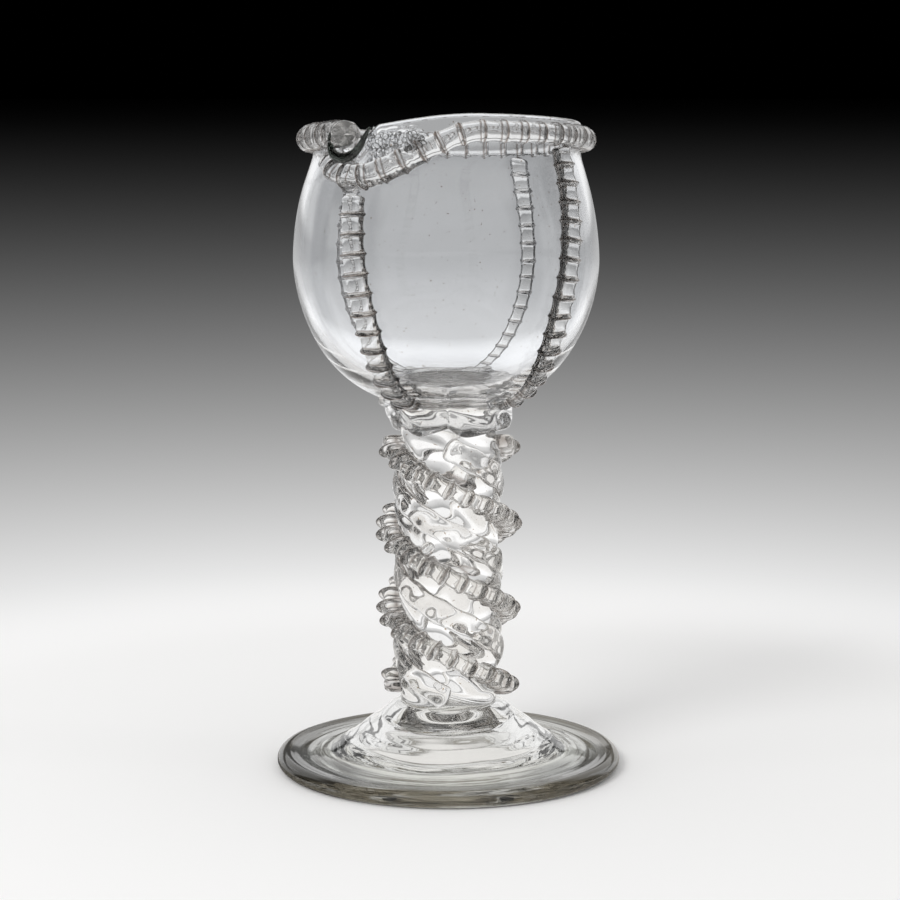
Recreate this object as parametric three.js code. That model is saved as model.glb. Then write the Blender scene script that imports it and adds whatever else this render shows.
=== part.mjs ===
// A hand-blown glass libation cup: an egg-shaped bowl with a pouring lip, on a thick
// stem wound with four trails of glass, on a domed foot. Every gather of glass that the
// maker added is a solid of its own. Lengths are in millimetres and angles in degrees.
// The foot stands on Z = 0, the front faces -Y, and an azimuth turns from the front to +X.

import * as THREE from 'three';

// Seam left between pieces that are fused together on the real cup
const SEAM = 0.3;

// Foot: a domed disc with a thick rolled edge, hollow underneath
const FOOT_RADIUS = 66;
const FOOT_HEIGHT = 25;
const FOOT_PAD_MARGIN = 0.8;
const FOOT_ROLL_WIDTH = 6.8;
const FOOT_ROLL_HEIGHT = 6.6;
const FOOT_REST_WIDTH = 5;
const FOOT_GROOVE_DEPTH = 1.2;
const FOOT_FLARE_RADIUS = 45;
const FOOT_FLARE_HEIGHT = 7.4;
const FOOT_SLOPE_INSET = 6.5;
const FOOT_SLOPE_RISE = 4.1;

// Hollow under the foot, with the scar of the pontil iron at its crown
const FOOT_CROWN_THICKNESS = 10;
const FOOT_BRIM_THICKNESS = 4.9;
const KICK_CROWN_MARGIN = 7;
const KICK_SKIRT_INSET = 15;
const PONTIL_RADIUS = 8;
const PONTIL_WIDTH = 2.4;
const PONTIL_PROUD = 1.6;

// Stem: a solid column of glass
const STEM_RADIUS = 19;
const STEM_LENGTH = 114.1;

// Bowl: a blunt egg below its widest ring, and drawn in to a straight neck above
const BOWL_RADIUS = 57.6;
const BOWL_DEPTH = 55.3;
const BOWL_WALL = 2.4;
const BOWL_BOTTOM_THICKNESS = 5.5;
const EGG_POWER = 1.7;
const EGG_BLUNTNESS = 0.3525;
const SHOULDER_HEIGHT = 40.2;
const SHOULDER_EASE_BELOW = 22;
const SHOULDER_EASE_ABOVE = 5;
const NECK_RADIUS = 50;
const NECK_HEIGHT = 10.6;

// Mouth: its plane tilts up at the front, and its lip sinks to a drawn-out pouring channel
const MOUTH_TILT = 4.8;
const LIP_FOOT_DROP = 12;
const LIP_SINK_DEPTH = 5;
const LIP_SINK_AZIMUTH = -52;
const LIP_SINK_LEFT_SPREAD = 48;
const LIP_SINK_RIGHT_SPREAD = 66;
const CHANNEL_AZIMUTH = -40;
const CHANNEL_SPREAD = 11.5;
const CHANNEL_DEPTH = 9.5;
const CHANNEL_REACH_LENGTH = 4.5;

// Pincered trail round the neck: it starts over the channel's left edge, goes once round
// the back, and dips to pass under the channel
const RIM_TRAIL_PITCH = 7.6;
const RIM_TRAIL_CREST_WIDTH = 8.8;
const RIM_TRAIL_WAIST_WIDTH = 7.2;
const RIM_TRAIL_CREST_HEIGHT = 6;
const RIM_TRAIL_WAIST_HEIGHT = 4.9;
const RIM_TRAIL_START_AZIMUTH = -47;
const RIM_TRAIL_TURN = 368;
const DIP_AZIMUTH = -38;
const DIP_DEPTH = 16.5;
const DIP_LEFT_SPREAD = 38;
const DIP_RIGHT_SPREAD = 53;

// Four pincered trails down the bowl, each with its azimuths at the stations below
const BOWL_TRAIL_PITCH = 7;
const BOWL_TRAIL_CREST_WIDTH = 10.8;
const BOWL_TRAIL_WAIST_WIDTH = 8.4;
const BOWL_TRAIL_CREST_HEIGHT = 4.8;
const BOWL_TRAIL_WAIST_HEIGHT = 3;
const BOWL_TRAILS = [
  ['bowl_trail_front_left', [-37, -35.7, -33.5, -36.5]],
  ['bowl_trail_front_right', [54.5, 50.2, 48.8, 59]],
  ['bowl_trail_back_right', [144.5, 145, 147, 153.5]],
  ['bowl_trail_back_left', [-137, -135.6, -135.6, -136]],
];

// Stations as shares of the way from the neck down to the bottom of the bowl
const COURSE_STATIONS = [0, 0.4, 0.7, 1];

// Collar of glass where the trails meet under the bowl
const COLLAR_WIDTH = 5.2;
const COLLAR_HEIGHT = 9.4;
const COLLAR_TOE_WIDTH = 2.6;
const COLLAR_TOE_RISE = 0.9;
const COLLAR_BELLY_RISE = 4.7;
const COLLAR_LOBES = 6;
const COLLAR_LOBE_DROP = 1.1;
const COLLAR_LOBE_BULGE = 0.7;

// Trails wound down the stem, two pincered and two smooth
const SPIRAL_LEAD = 64;
const SPIRAL_A_AZIMUTH = -90;
const SPIRAL_B_AZIMUTH = 83;
const SPIRAL_PITCH = 6.8;
const SPIRAL_CREST_WIDTH = 8.2;
const SPIRAL_WAIST_WIDTH = 6;
const SPIRAL_CREST_HEIGHT = 9.2;
const SPIRAL_WAIST_HEIGHT = 6.2;
const SMOOTH_A_AZIMUTH = -4;
const SMOOTH_B_AZIMUTH = 176;
const SMOOTH_WIDTH = 7.6;
const SMOOTH_HEIGHT = 2.6;
const SMOOTH_STEP = 4;

// Fineness of the faceted surfaces
const BOWL_SEGMENTS = 72;
const FOOT_SEGMENTS = 64;
const STEM_SEGMENTS = 36;
const COLLAR_SEGMENTS = 36;
const EGG_STEPS = 8;
const SHOULDER_STEPS = 6;
const ROUND_STEPS = 6;
const RINGS_PER_PINCH = 3;
const GUIDE_STEPS = 72;

// Heights that follow from the sizes
const BOWL_BOTTOM = FOOT_HEIGHT + SEAM + STEM_LENGTH + SEAM;
const WIDEST_HEIGHT = BOWL_BOTTOM + BOWL_DEPTH;
const NECK_START = WIDEST_HEIGHT + SHOULDER_HEIGHT;
const LIP_HEIGHT = NECK_START + NECK_HEIGHT;
const LIP_FOOT = NECK_START - LIP_FOOT_DROP;
const RIM_TRAIL_HEIGHT = NECK_START + RIM_TRAIL_CREST_WIDTH / 2;
const RIM_TRAIL_TOP = RIM_TRAIL_HEIGHT + RIM_TRAIL_CREST_WIDTH / 2;
const MOUTH_RISE = NECK_RADIUS * Math.tan(THREE.MathUtils.degToRad(MOUTH_TILT));
const COLLAR_RADIUS = STEM_RADIUS + SEAM + COLLAR_WIDTH;
const COLLAR_BOTTOM = undersideHeight(STEM_RADIUS) - SEAM - COLLAR_HEIGHT;
const SPIRAL_SLANT = Math.atan(SPIRAL_LEAD / (2 * Math.PI * STEM_RADIUS));
const SPIRAL_ROOM = SEAM + SPIRAL_CREST_WIDTH / 2 / Math.cos(SPIRAL_SLANT);
const SPIRAL_TOP = COLLAR_BOTTOM - COLLAR_LOBE_DROP - SPIRAL_ROOM;
const SPIRAL_END = FOOT_HEIGHT + SPIRAL_ROOM;

// Section of an applied trail, as shares of its half width and of its height
const TRAIL_SECTION = [[-0.75, 0], [0.75, 0], [1, 0.45], [0.55, 1], [-0.55, 1], [-1, 0.45]];
const SMOOTH_SECTION = [[-1, 0], [1, 0], [0.62, 0.75], [0, 1], [-0.62, 0.75]];

// Point at an azimuth, a distance from the axis and a height
function polar(azimuth, radius, height) {
  const turn = THREE.MathUtils.degToRad(azimuth);
  return new THREE.Vector3(radius * Math.sin(turn), -radius * Math.cos(turn), height);
}

// Height of the bowl's outside at a radius, below its widest ring
function undersideHeight(radius) {
  const share = radius / BOWL_RADIUS;
  const depth = (1 - share ** (1 / EGG_BLUNTNESS)) ** (1 / EGG_POWER);
  return WIDEST_HEIGHT - depth * BOWL_DEPTH;
}

// Outline of a bowl wall from the axis up to the start of the neck
function wallOutline(widest, neck, bottom, eggSteps, shoulderSteps) {
  const points = [];
  for (let i = 0; i <= eggSteps; i++) {
    const turn = (i / eggSteps) * (Math.PI / 2);
    const radius = widest * Math.sin(turn) ** (2 * EGG_BLUNTNESS);
    const depth = Math.cos(turn) ** (2 / EGG_POWER);
    points.push(new THREE.Vector2(radius, WIDEST_HEIGHT - depth * (WIDEST_HEIGHT - bottom)));
  }
  const shoulder = new THREE.CubicBezierCurve(
    new THREE.Vector2(widest, WIDEST_HEIGHT),
    new THREE.Vector2(widest, WIDEST_HEIGHT + SHOULDER_EASE_BELOW),
    new THREE.Vector2(neck, NECK_START - SHOULDER_EASE_ABOVE),
    new THREE.Vector2(neck, NECK_START),
  );
  points.push(...shoulder.getPoints(shoulderSteps).slice(1));
  return points;
}

// Share of a smooth hump, 1 at its middle and 0 from its spread outwards
function hump(offset, spread) {
  const share = Math.min(Math.abs(offset) / spread, 1);
  return Math.cos((share * Math.PI) / 2) ** 2;
}

// Signed angle of an azimuth from a middle one
function turnedFrom(azimuth, middle) {
  return THREE.MathUtils.euclideanModulo(azimuth - middle + 180, 360) - 180;
}

// Share of the pouring channel at an azimuth
function channelAt(azimuth) {
  return hump(turnedFrom(azimuth, CHANNEL_AZIMUTH), CHANNEL_SPREAD);
}

// How far the tilt of the mouth lifts its rim at an azimuth
function mouthRise(azimuth) {
  return MOUTH_RISE * Math.cos(THREE.MathUtils.degToRad(azimuth));
}

// Where the tilt, the sinking lip and the pouring channel carry a point of the plain bowl
function shapeMouth(azimuth, radius, height) {
  const offset = turnedFrom(azimuth, LIP_SINK_AZIMUTH);
  const sink = hump(offset, offset < 0 ? LIP_SINK_LEFT_SPREAD : LIP_SINK_RIGHT_SPREAD);
  const channel = channelAt(azimuth);
  const bend = THREE.MathUtils.smoothstep(height, WIDEST_HEIGHT, NECK_START);
  const share = THREE.MathUtils.clamp((height - LIP_FOOT) / (LIP_HEIGHT - LIP_FOOT), 0, 1);
  const reach = CHANNEL_REACH_LENGTH * channel * THREE.MathUtils.smoothstep(share, 0.5, 1);
  const drop = share * (LIP_SINK_DEPTH * sink + CHANNEL_DEPTH * channel);
  return polar(azimuth, radius + reach, height + bend * mouthRise(azimuth) - drop);
}

// Point of the bowl's outside at an azimuth whose finished height is the given one
function wallAt(azimuth, height) {
  const wall = wallOutline(BOWL_RADIUS, NECK_RADIUS, BOWL_BOTTOM, GUIDE_STEPS, GUIDE_STEPS);
  wall.push(new THREE.Vector2(NECK_RADIUS, LIP_HEIGHT));
  const shaped = wall
    .filter((point) => point.y >= WIDEST_HEIGHT)
    .map((point) => shapeMouth(azimuth, point.x, point.y));
  const above = shaped.findIndex((point) => point.z >= height);
  const low = shaped[above - 1];
  const high = shaped[above];
  return low.clone().lerp(high, (height - low.z) / (high.z - low.z));
}

// Skin over rings of equal count, closed at both ends, with its faces pointing out
function skin(rings) {
  const count = rings[0].length;
  const faces = [];
  for (let i = 0; i < rings.length - 1; i++) {
    const near = i * count;
    const far = (i + 1) * count;
    for (let k = 0; k < count; k++) {
      const next = (k + 1) % count;
      faces.push(near + k, near + next, far + next);
      faces.push(near + k, far + next, far + k);
    }
  }
  const end = (rings.length - 1) * count;
  for (let k = 1; k < count - 1; k++) {
    faces.push(0, k + 1, k);
    faces.push(end, end + k, end + k + 1);
  }
  const geometry = new THREE.BufferGeometry().setFromPoints(rings.flat());
  geometry.setIndex(faces);
  return geometry;
}

// Frame of a trail at a point of its path; side, out and along are at right angles
function frameAt(point, out, along) {
  const side = new THREE.Vector3().crossVectors(out, along).normalize();
  return { point, side, out: new THREE.Vector3().crossVectors(along, side).normalize() };
}

// One ring of a trail, seated a seam above the surface that carries it
function trailRing(frame, section, width, height) {
  return section.map(([across, above]) => frame.point.clone()
    .addScaledVector(frame.side, (across * width) / 2)
    .addScaledVector(frame.out, SEAM + above * height));
}

// Trail nipped with pincers: a thin crest at each pitch, and a waist between two crests
function pinceredTrail(frames, crest, waist) {
  const rings = frames.map((frame, i) => {
    const [width, height] = i % RINGS_PER_PINCH === 0 ? crest : waist;
    return trailRing(frame, TRAIL_SECTION, width, height);
  });
  return skin(rings);
}

// Solid of revolution about Z from an outline of radius and height
function revolve(outline, segments) {
  return new THREE.LatheGeometry(outline, segments).rotateX(Math.PI / 2);
}

// Moves each point of a revolved solid by a rule on its azimuth, radius and height
function reshape(geometry, rule) {
  const position = geometry.getAttribute('position');
  for (let i = 0; i < position.count; i++) {
    const x = position.getX(i);
    const y = position.getY(i);
    const radius = Math.hypot(x, y);
    const azimuth = THREE.MathUtils.radToDeg(Math.atan2(x, -y));
    const moved = rule(azimuth, radius, position.getZ(i));
    position.setXYZ(i, moved.x, moved.y, moved.z);
  }
  return geometry;
}

// Points of an ellipse's arc, from one angle to another
function arc(centre, halfWidth, halfHeight, from, to, steps) {
  const points = [];
  for (let i = 0; i <= steps; i++) {
    const turn = THREE.MathUtils.degToRad(from + ((to - from) * i) / steps);
    const x = centre.x + halfWidth * Math.cos(turn);
    points.push(new THREE.Vector2(x, centre.y + halfHeight * Math.sin(turn)));
  }
  return points;
}

// The foot, from the crown of its hollow round the rolled edge to the pad under the stem
function footGeometry() {
  const restOuter = FOOT_RADIUS - FOOT_ROLL_WIDTH / 2;
  const restInner = restOuter - FOOT_REST_WIDTH;
  const padRadius = STEM_RADIUS + FOOT_PAD_MARGIN;
  const scarInner = PONTIL_RADIUS - PONTIL_WIDTH / 2;
  const scarOuter = PONTIL_RADIUS + PONTIL_WIDTH / 2;
  const crown = FOOT_HEIGHT - FOOT_CROWN_THICKNESS;
  const skirt = FOOT_FLARE_HEIGHT - FOOT_BRIM_THICKNESS;
  const hollow = new THREE.CubicBezierCurve(
    new THREE.Vector2(scarOuter + PONTIL_WIDTH / 2, crown),
    new THREE.Vector2(STEM_RADIUS + KICK_CROWN_MARGIN, crown),
    new THREE.Vector2(FOOT_FLARE_RADIUS - KICK_SKIRT_INSET, skirt),
    new THREE.Vector2(restInner, 0),
  );
  const rollCentre = new THREE.Vector2(restOuter, FOOT_ROLL_HEIGHT / 2);
  const slope = new THREE.QuadraticBezierCurve(
    new THREE.Vector2(FOOT_FLARE_RADIUS, FOOT_FLARE_HEIGHT),
    new THREE.Vector2(FOOT_FLARE_RADIUS - FOOT_SLOPE_INSET, FOOT_FLARE_HEIGHT + FOOT_SLOPE_RISE),
    new THREE.Vector2(padRadius, FOOT_HEIGHT),
  );
  const grooveRadius = FOOT_RADIUS - FOOT_ROLL_WIDTH;
  return revolve([
    new THREE.Vector2(0, crown - PONTIL_PROUD / 2),
    new THREE.Vector2(scarInner, crown - PONTIL_PROUD),
    new THREE.Vector2(scarOuter, crown - PONTIL_PROUD),
    ...hollow.getPoints(ROUND_STEPS),
    ...arc(rollCentre, FOOT_ROLL_WIDTH / 2, FOOT_ROLL_HEIGHT / 2, -90, 90, ROUND_STEPS),
    new THREE.Vector2(grooveRadius, FOOT_ROLL_HEIGHT - FOOT_GROOVE_DEPTH),
    ...slope.getPoints(ROUND_STEPS - 1),
    new THREE.Vector2(0, FOOT_HEIGHT),
  ], FOOT_SEGMENTS);
}

// The stem's column, with its top end shaped to the underside of the bowl
function stemGeometry() {
  const low = FOOT_HEIGHT + SEAM;
  const top = (radius) => new THREE.Vector2(radius, undersideHeight(radius) - SEAM);
  return revolve([
    new THREE.Vector2(0, low),
    new THREE.Vector2(STEM_RADIUS, low),
    top(STEM_RADIUS),
    top(STEM_RADIUS * 0.8),
    top(STEM_RADIUS * 0.5),
    top(0),
  ], STEM_SEGMENTS);
}

// The collar, a lobed ring of glass round the top of the stem
function collarGeometry() {
  const inner = STEM_RADIUS + SEAM;
  const top = (radius) => new THREE.Vector2(radius, undersideHeight(radius) - SEAM);
  const belly = COLLAR_BOTTOM + COLLAR_BELLY_RISE;
  const plain = revolve([
    new THREE.Vector2(inner, COLLAR_BOTTOM),
    new THREE.Vector2(inner + COLLAR_TOE_WIDTH, COLLAR_BOTTOM + COLLAR_TOE_RISE),
    new THREE.Vector2(COLLAR_RADIUS, belly),
    top(COLLAR_RADIUS),
    top(inner),
    new THREE.Vector2(inner, COLLAR_BOTTOM),
  ], COLLAR_SEGMENTS);
  return reshape(plain, (azimuth, radius, height) => {
    const wave = Math.cos(THREE.MathUtils.degToRad(azimuth * COLLAR_LOBES));
    const lobed = 1 - THREE.MathUtils.smoothstep(height, belly, COLLAR_BOTTOM + COLLAR_HEIGHT);
    const outside = (radius - inner) / COLLAR_WIDTH;
    const bulge = lobed * outside * COLLAR_LOBE_BULGE * wave;
    return polar(azimuth, radius + bulge, height - lobed * COLLAR_LOBE_DROP * wave);
  });
}

// The bowl's outline: up the outside, over the rounded lip and down the inside
function bowlOutline() {
  const outside = wallOutline(BOWL_RADIUS, NECK_RADIUS, BOWL_BOTTOM, EGG_STEPS, SHOULDER_STEPS);
  const inside = wallOutline(
    BOWL_RADIUS - BOWL_WALL,
    NECK_RADIUS - BOWL_WALL,
    BOWL_BOTTOM + BOWL_BOTTOM_THICKNESS,
    EGG_STEPS,
    SHOULDER_STEPS,
  );
  const edge = new THREE.Vector2(NECK_RADIUS - BOWL_WALL / 2, LIP_HEIGHT - BOWL_WALL / 2);
  return [
    ...outside,
    new THREE.Vector2(NECK_RADIUS, RIM_TRAIL_HEIGHT),
    new THREE.Vector2(NECK_RADIUS, RIM_TRAIL_TOP),
    ...arc(edge, BOWL_WALL / 2, BOWL_WALL / 2, 0, 180, ROUND_STEPS - 2),
    new THREE.Vector2(NECK_RADIUS - BOWL_WALL, RIM_TRAIL_TOP),
    new THREE.Vector2(NECK_RADIUS - BOWL_WALL, RIM_TRAIL_HEIGHT),
    ...inside.reverse(),
  ];
}

// Base of the rim trail after a turn from its start, and the way out of the wall there
function rimBase(turned) {
  const azimuth = RIM_TRAIL_START_AZIMUTH - turned;
  const offset = turnedFrom(azimuth, DIP_AZIMUTH);
  const spread = offset < 0 ? DIP_LEFT_SPREAD : DIP_RIGHT_SPREAD;
  const level = RIM_TRAIL_HEIGHT + mouthRise(azimuth);
  if (turned < 180) {
    const reach = CHANNEL_REACH_LENGTH * channelAt(azimuth);
    return { point: polar(azimuth, NECK_RADIUS + reach, level), out: polar(azimuth, 1, 0) };
  }
  const height = level - DIP_DEPTH * hump(offset, spread);
  const upward = wallAt(azimuth, height + 1).sub(wallAt(azimuth, height - 1));
  const out = new THREE.Vector3().crossVectors(polar(azimuth + 90, 1, 0), upward).normalize();
  return { point: wallAt(azimuth, height), out };
}

// Frames of the rim trail, evenly spaced in whole pitches along its course
function rimFrames() {
  const steps = GUIDE_STEPS * 2;
  const bases = [];
  for (let i = 0; i <= steps; i++) {
    bases.push(rimBase((RIM_TRAIL_TURN * i) / steps));
  }
  const line = new THREE.CatmullRomCurve3(bases.map((base) => base.point));
  const count = Math.round(line.getLength() / RIM_TRAIL_PITCH) * RINGS_PER_PINCH;
  const frames = [];
  for (let i = 0; i <= count; i++) {
    const share = line.getUtoTmapping(i / count);
    const near = Math.min(Math.floor(share * steps), steps - 1);
    const out = bases[near].out.clone().lerp(bases[near + 1].out, share * steps - near);
    frames.push(frameAt(line.getPoint(share), out, line.getTangent(share)));
  }
  return frames;
}

// Azimuth of a course at a share of its way, on a smooth line through its stations
function azimuthAt(course, share) {
  let azimuth = 0;
  for (let i = 0; i < COURSE_STATIONS.length; i++) {
    let weight = course[i];
    for (let k = 0; k < COURSE_STATIONS.length; k++) {
      if (k !== i) {
        weight *= (share - COURSE_STATIONS[k]) / (COURSE_STATIONS[i] - COURSE_STATIONS[k]);
      }
    }
    azimuth += weight;
  }
  return azimuth;
}

// Height at which a course starts: under the rim trail, or under its dip
function courseTop(course) {
  const offset = turnedFrom(course[0], DIP_AZIMUTH);
  const dip = DIP_DEPTH * hump(offset, offset < 0 ? DIP_LEFT_SPREAD : DIP_RIGHT_SPREAD);
  return RIM_TRAIL_HEIGHT - dip - RIM_TRAIL_CREST_WIDTH / 2 - SEAM;
}

// Frames down the outside of the bowl along a course, from under the rim trail
function bowlTrailFrames(course) {
  const endRadius = COLLAR_RADIUS + COLLAR_LOBE_BULGE + SEAM + BOWL_TRAIL_CREST_HEIGHT / 2;
  const wall = wallOutline(BOWL_RADIUS, NECK_RADIUS, BOWL_BOTTOM, GUIDE_STEPS, GUIDE_STEPS);
  const azimuthOf = (height) => {
    return azimuthAt(course, (NECK_START - height) / (NECK_START - BOWL_BOTTOM));
  };
  const guide = wall
    .filter((point) => point.y <= courseTop(course))
    .filter((point) => point.y > WIDEST_HEIGHT || point.x > endRadius)
    .reverse()
    .map((point) => shapeMouth(azimuthOf(point.y), point.x, point.y));
  const line = new THREE.CatmullRomCurve3(guide);
  const length = line.getLength();
  const count = Math.floor(length / BOWL_TRAIL_PITCH) * RINGS_PER_PINCH;
  const frames = [];
  for (let i = 0; i <= count; i++) {
    const share = (SEAM + (length - SEAM) * (i / count)) / length;
    const point = line.getPointAt(share);
    const along = line.getTangentAt(share);
    const across = new THREE.Vector3(-point.y, point.x, 0);
    const out = new THREE.Vector3().crossVectors(along, across);
    frames.push(frameAt(point, out, along));
  }
  return frames;
}

// Frames down the stem along a left-handed spiral, in whole pitches of three steps
function spiralFrames(azimuth, step) {
  const drop = SPIRAL_LEAD / 360;
  const turned = (SPIRAL_TOP - SPIRAL_END) / drop;
  const length = (SPIRAL_TOP - SPIRAL_END) / Math.sin(SPIRAL_SLANT);
  const count = Math.round(length / step / RINGS_PER_PINCH) * RINGS_PER_PINCH;
  const frames = [];
  for (let i = 0; i <= count; i++) {
    const angle = (turned * i) / count;
    const point = polar(azimuth + angle, STEM_RADIUS, SPIRAL_TOP - drop * angle);
    const out = polar(azimuth + angle, 1, 0);
    const along = polar(azimuth + angle + 90, Math.cos(SPIRAL_SLANT), -Math.sin(SPIRAL_SLANT));
    frames.push(frameAt(point, out, along));
  }
  return frames;
}

// The pincered trail that rings the neck
function rimTrail() {
  const crest = [RIM_TRAIL_CREST_WIDTH, RIM_TRAIL_CREST_HEIGHT];
  const waist = [RIM_TRAIL_WAIST_WIDTH, RIM_TRAIL_WAIST_HEIGHT];
  return pinceredTrail(rimFrames(), crest, waist);
}

// A pincered trail down the bowl
function bowlTrail(course) {
  const crest = [BOWL_TRAIL_CREST_WIDTH, BOWL_TRAIL_CREST_HEIGHT];
  const waist = [BOWL_TRAIL_WAIST_WIDTH, BOWL_TRAIL_WAIST_HEIGHT];
  return pinceredTrail(bowlTrailFrames(course), crest, waist);
}

// A pincered trail wound down the stem
function pinceredSpiral(azimuth) {
  const crest = [SPIRAL_CREST_WIDTH, SPIRAL_CREST_HEIGHT];
  const waist = [SPIRAL_WAIST_WIDTH, SPIRAL_WAIST_HEIGHT];
  const frames = spiralFrames(azimuth, SPIRAL_PITCH / RINGS_PER_PINCH);
  return pinceredTrail(frames, crest, waist);
}

// A smooth trail wound down the stem, a low ridge between two pincered ones
function smoothSpiral(azimuth) {
  const frames = spiralFrames(azimuth, SMOOTH_STEP);
  const rings = frames.map((frame) => trailRing(frame, SMOOTH_SECTION, SMOOTH_WIDTH, SMOOTH_HEIGHT));
  return skin(rings);
}

// The bowl, drawn out at the mouth
function bowlGeometry() {
  return reshape(revolve(bowlOutline(), BOWL_SEGMENTS), shapeMouth);
}

// Glass tones: thin walls look clear, and the thick foot carries a grey tinge
const CLEAR_GLASS = new THREE.Color('#e4e8e6');
const TRAIL_GLASS = new THREE.Color('#f0efec');
const FOOT_GLASS = new THREE.Color('#c6ccc8');

const cup = new THREE.Group();

function addPiece(name, geometry, color) {
  geometry.computeVertexNormals();
  const material = new THREE.MeshStandardMaterial({ color, roughness: 0.04, metalness: 0 });
  const piece = new THREE.Mesh(geometry, material);
  piece.name = name;
  cup.add(piece);
}

addPiece('foot', footGeometry(), FOOT_GLASS);
addPiece('stem_core', stemGeometry(), CLEAR_GLASS);
addPiece('stem_collar', collarGeometry(), CLEAR_GLASS);
addPiece('pincered_spiral_a', pinceredSpiral(SPIRAL_A_AZIMUTH), TRAIL_GLASS);
addPiece('pincered_spiral_b', pinceredSpiral(SPIRAL_B_AZIMUTH), TRAIL_GLASS);
addPiece('smooth_spiral_a', smoothSpiral(SMOOTH_A_AZIMUTH), CLEAR_GLASS);
addPiece('smooth_spiral_b', smoothSpiral(SMOOTH_B_AZIMUTH), CLEAR_GLASS);
addPiece('bowl', bowlGeometry(), CLEAR_GLASS);
addPiece('rim_trail', rimTrail(), TRAIL_GLASS);
for (const [name, course] of BOWL_TRAILS) {
  addPiece(name, bowlTrail(course), TRAIL_GLASS);
}

export default cup;
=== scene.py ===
# %% [markdown]
# # A hand-blown libation cup
# The cup is colourless blown glass: an egg-shaped bowl with a pouring lip, a wound stem and a
# domed foot. Every piece was added hot, so each one is modelled as its own closed skin of glass.
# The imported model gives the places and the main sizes, and this script makes the fine surfaces.

import math

import bmesh
import bpy
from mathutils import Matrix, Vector


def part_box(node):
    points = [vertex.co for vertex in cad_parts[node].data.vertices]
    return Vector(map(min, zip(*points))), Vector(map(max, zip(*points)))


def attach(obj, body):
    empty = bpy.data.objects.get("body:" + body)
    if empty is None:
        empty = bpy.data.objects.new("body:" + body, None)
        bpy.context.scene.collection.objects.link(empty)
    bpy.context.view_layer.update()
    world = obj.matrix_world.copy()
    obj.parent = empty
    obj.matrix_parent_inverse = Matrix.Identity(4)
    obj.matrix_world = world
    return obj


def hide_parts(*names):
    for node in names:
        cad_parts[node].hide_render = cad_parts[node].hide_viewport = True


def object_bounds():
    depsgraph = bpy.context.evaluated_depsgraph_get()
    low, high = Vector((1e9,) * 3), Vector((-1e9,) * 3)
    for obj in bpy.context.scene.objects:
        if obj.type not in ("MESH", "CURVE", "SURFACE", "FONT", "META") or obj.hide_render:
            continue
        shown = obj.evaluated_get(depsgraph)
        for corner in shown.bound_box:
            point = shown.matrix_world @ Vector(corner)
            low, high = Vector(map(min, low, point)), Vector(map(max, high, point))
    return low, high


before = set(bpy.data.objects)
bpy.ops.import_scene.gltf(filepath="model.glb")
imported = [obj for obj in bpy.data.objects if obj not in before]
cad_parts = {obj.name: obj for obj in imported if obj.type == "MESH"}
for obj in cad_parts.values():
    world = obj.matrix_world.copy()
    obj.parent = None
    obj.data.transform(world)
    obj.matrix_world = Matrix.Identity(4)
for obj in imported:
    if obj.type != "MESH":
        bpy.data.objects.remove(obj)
cad_low, cad_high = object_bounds()

MM = 0.001
FOOT_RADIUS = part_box("foot")[1].x
FOOT_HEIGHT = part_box("foot")[1].z
STEM_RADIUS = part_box("stem_core")[1].x
BOWL_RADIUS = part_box("bowl")[1].x
BOWL_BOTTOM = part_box("bowl")[0].z
COLLAR_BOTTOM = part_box("stem_collar")[0].z
print("model box in metres:", [round(v, 4) for v in (*cad_low, *cad_high)])

# %% [markdown]
# ## Camera
# A camera could be moved by eye until the outlines match. Here the edges of the plinth that the
# cup stands on were measured instead, and they give a long lens, placed level with the rim and
# pitched a little down. It has no shift, so that the other views keep the same framing.

# %% Camera
CAMERA_DISTANCE = 957 * MM
CAMERA_HEIGHT = 258.9 * MM
CAMERA_ASIDE = 0.6 * MM
CAMERA_PITCH = 8.12
CAMERA_LENS = 101.6
SENSOR_WIDTH = 36
VIEW_DEPTH = 200

camera_data = bpy.data.cameras.new("camera")
camera_data.lens = CAMERA_LENS
camera_data.sensor_width = SENSOR_WIDTH
camera_data.clip_end = VIEW_DEPTH
camera = bpy.data.objects.new("camera", camera_data)
camera.location = (CAMERA_ASIDE, -CAMERA_DISTANCE, CAMERA_HEIGHT)
camera.rotation_euler = (math.radians(90 - CAMERA_PITCH), 0, 0)
bpy.context.scene.collection.objects.link(camera)
bpy.context.scene.camera = camera
print("camera stands at", [round(v, 4) for v in camera.location], "with a lens of", CAMERA_LENS)

# %% [markdown]
# ## Arithmetic on node sockets
# Shaders and Geometry Nodes both work by sums on sockets. Adding and linking each Math node by
# hand takes a page for one short rule. So a small class wraps a socket, a rule is written as a
# Python expression, and each operator adds its Math node.


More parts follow.
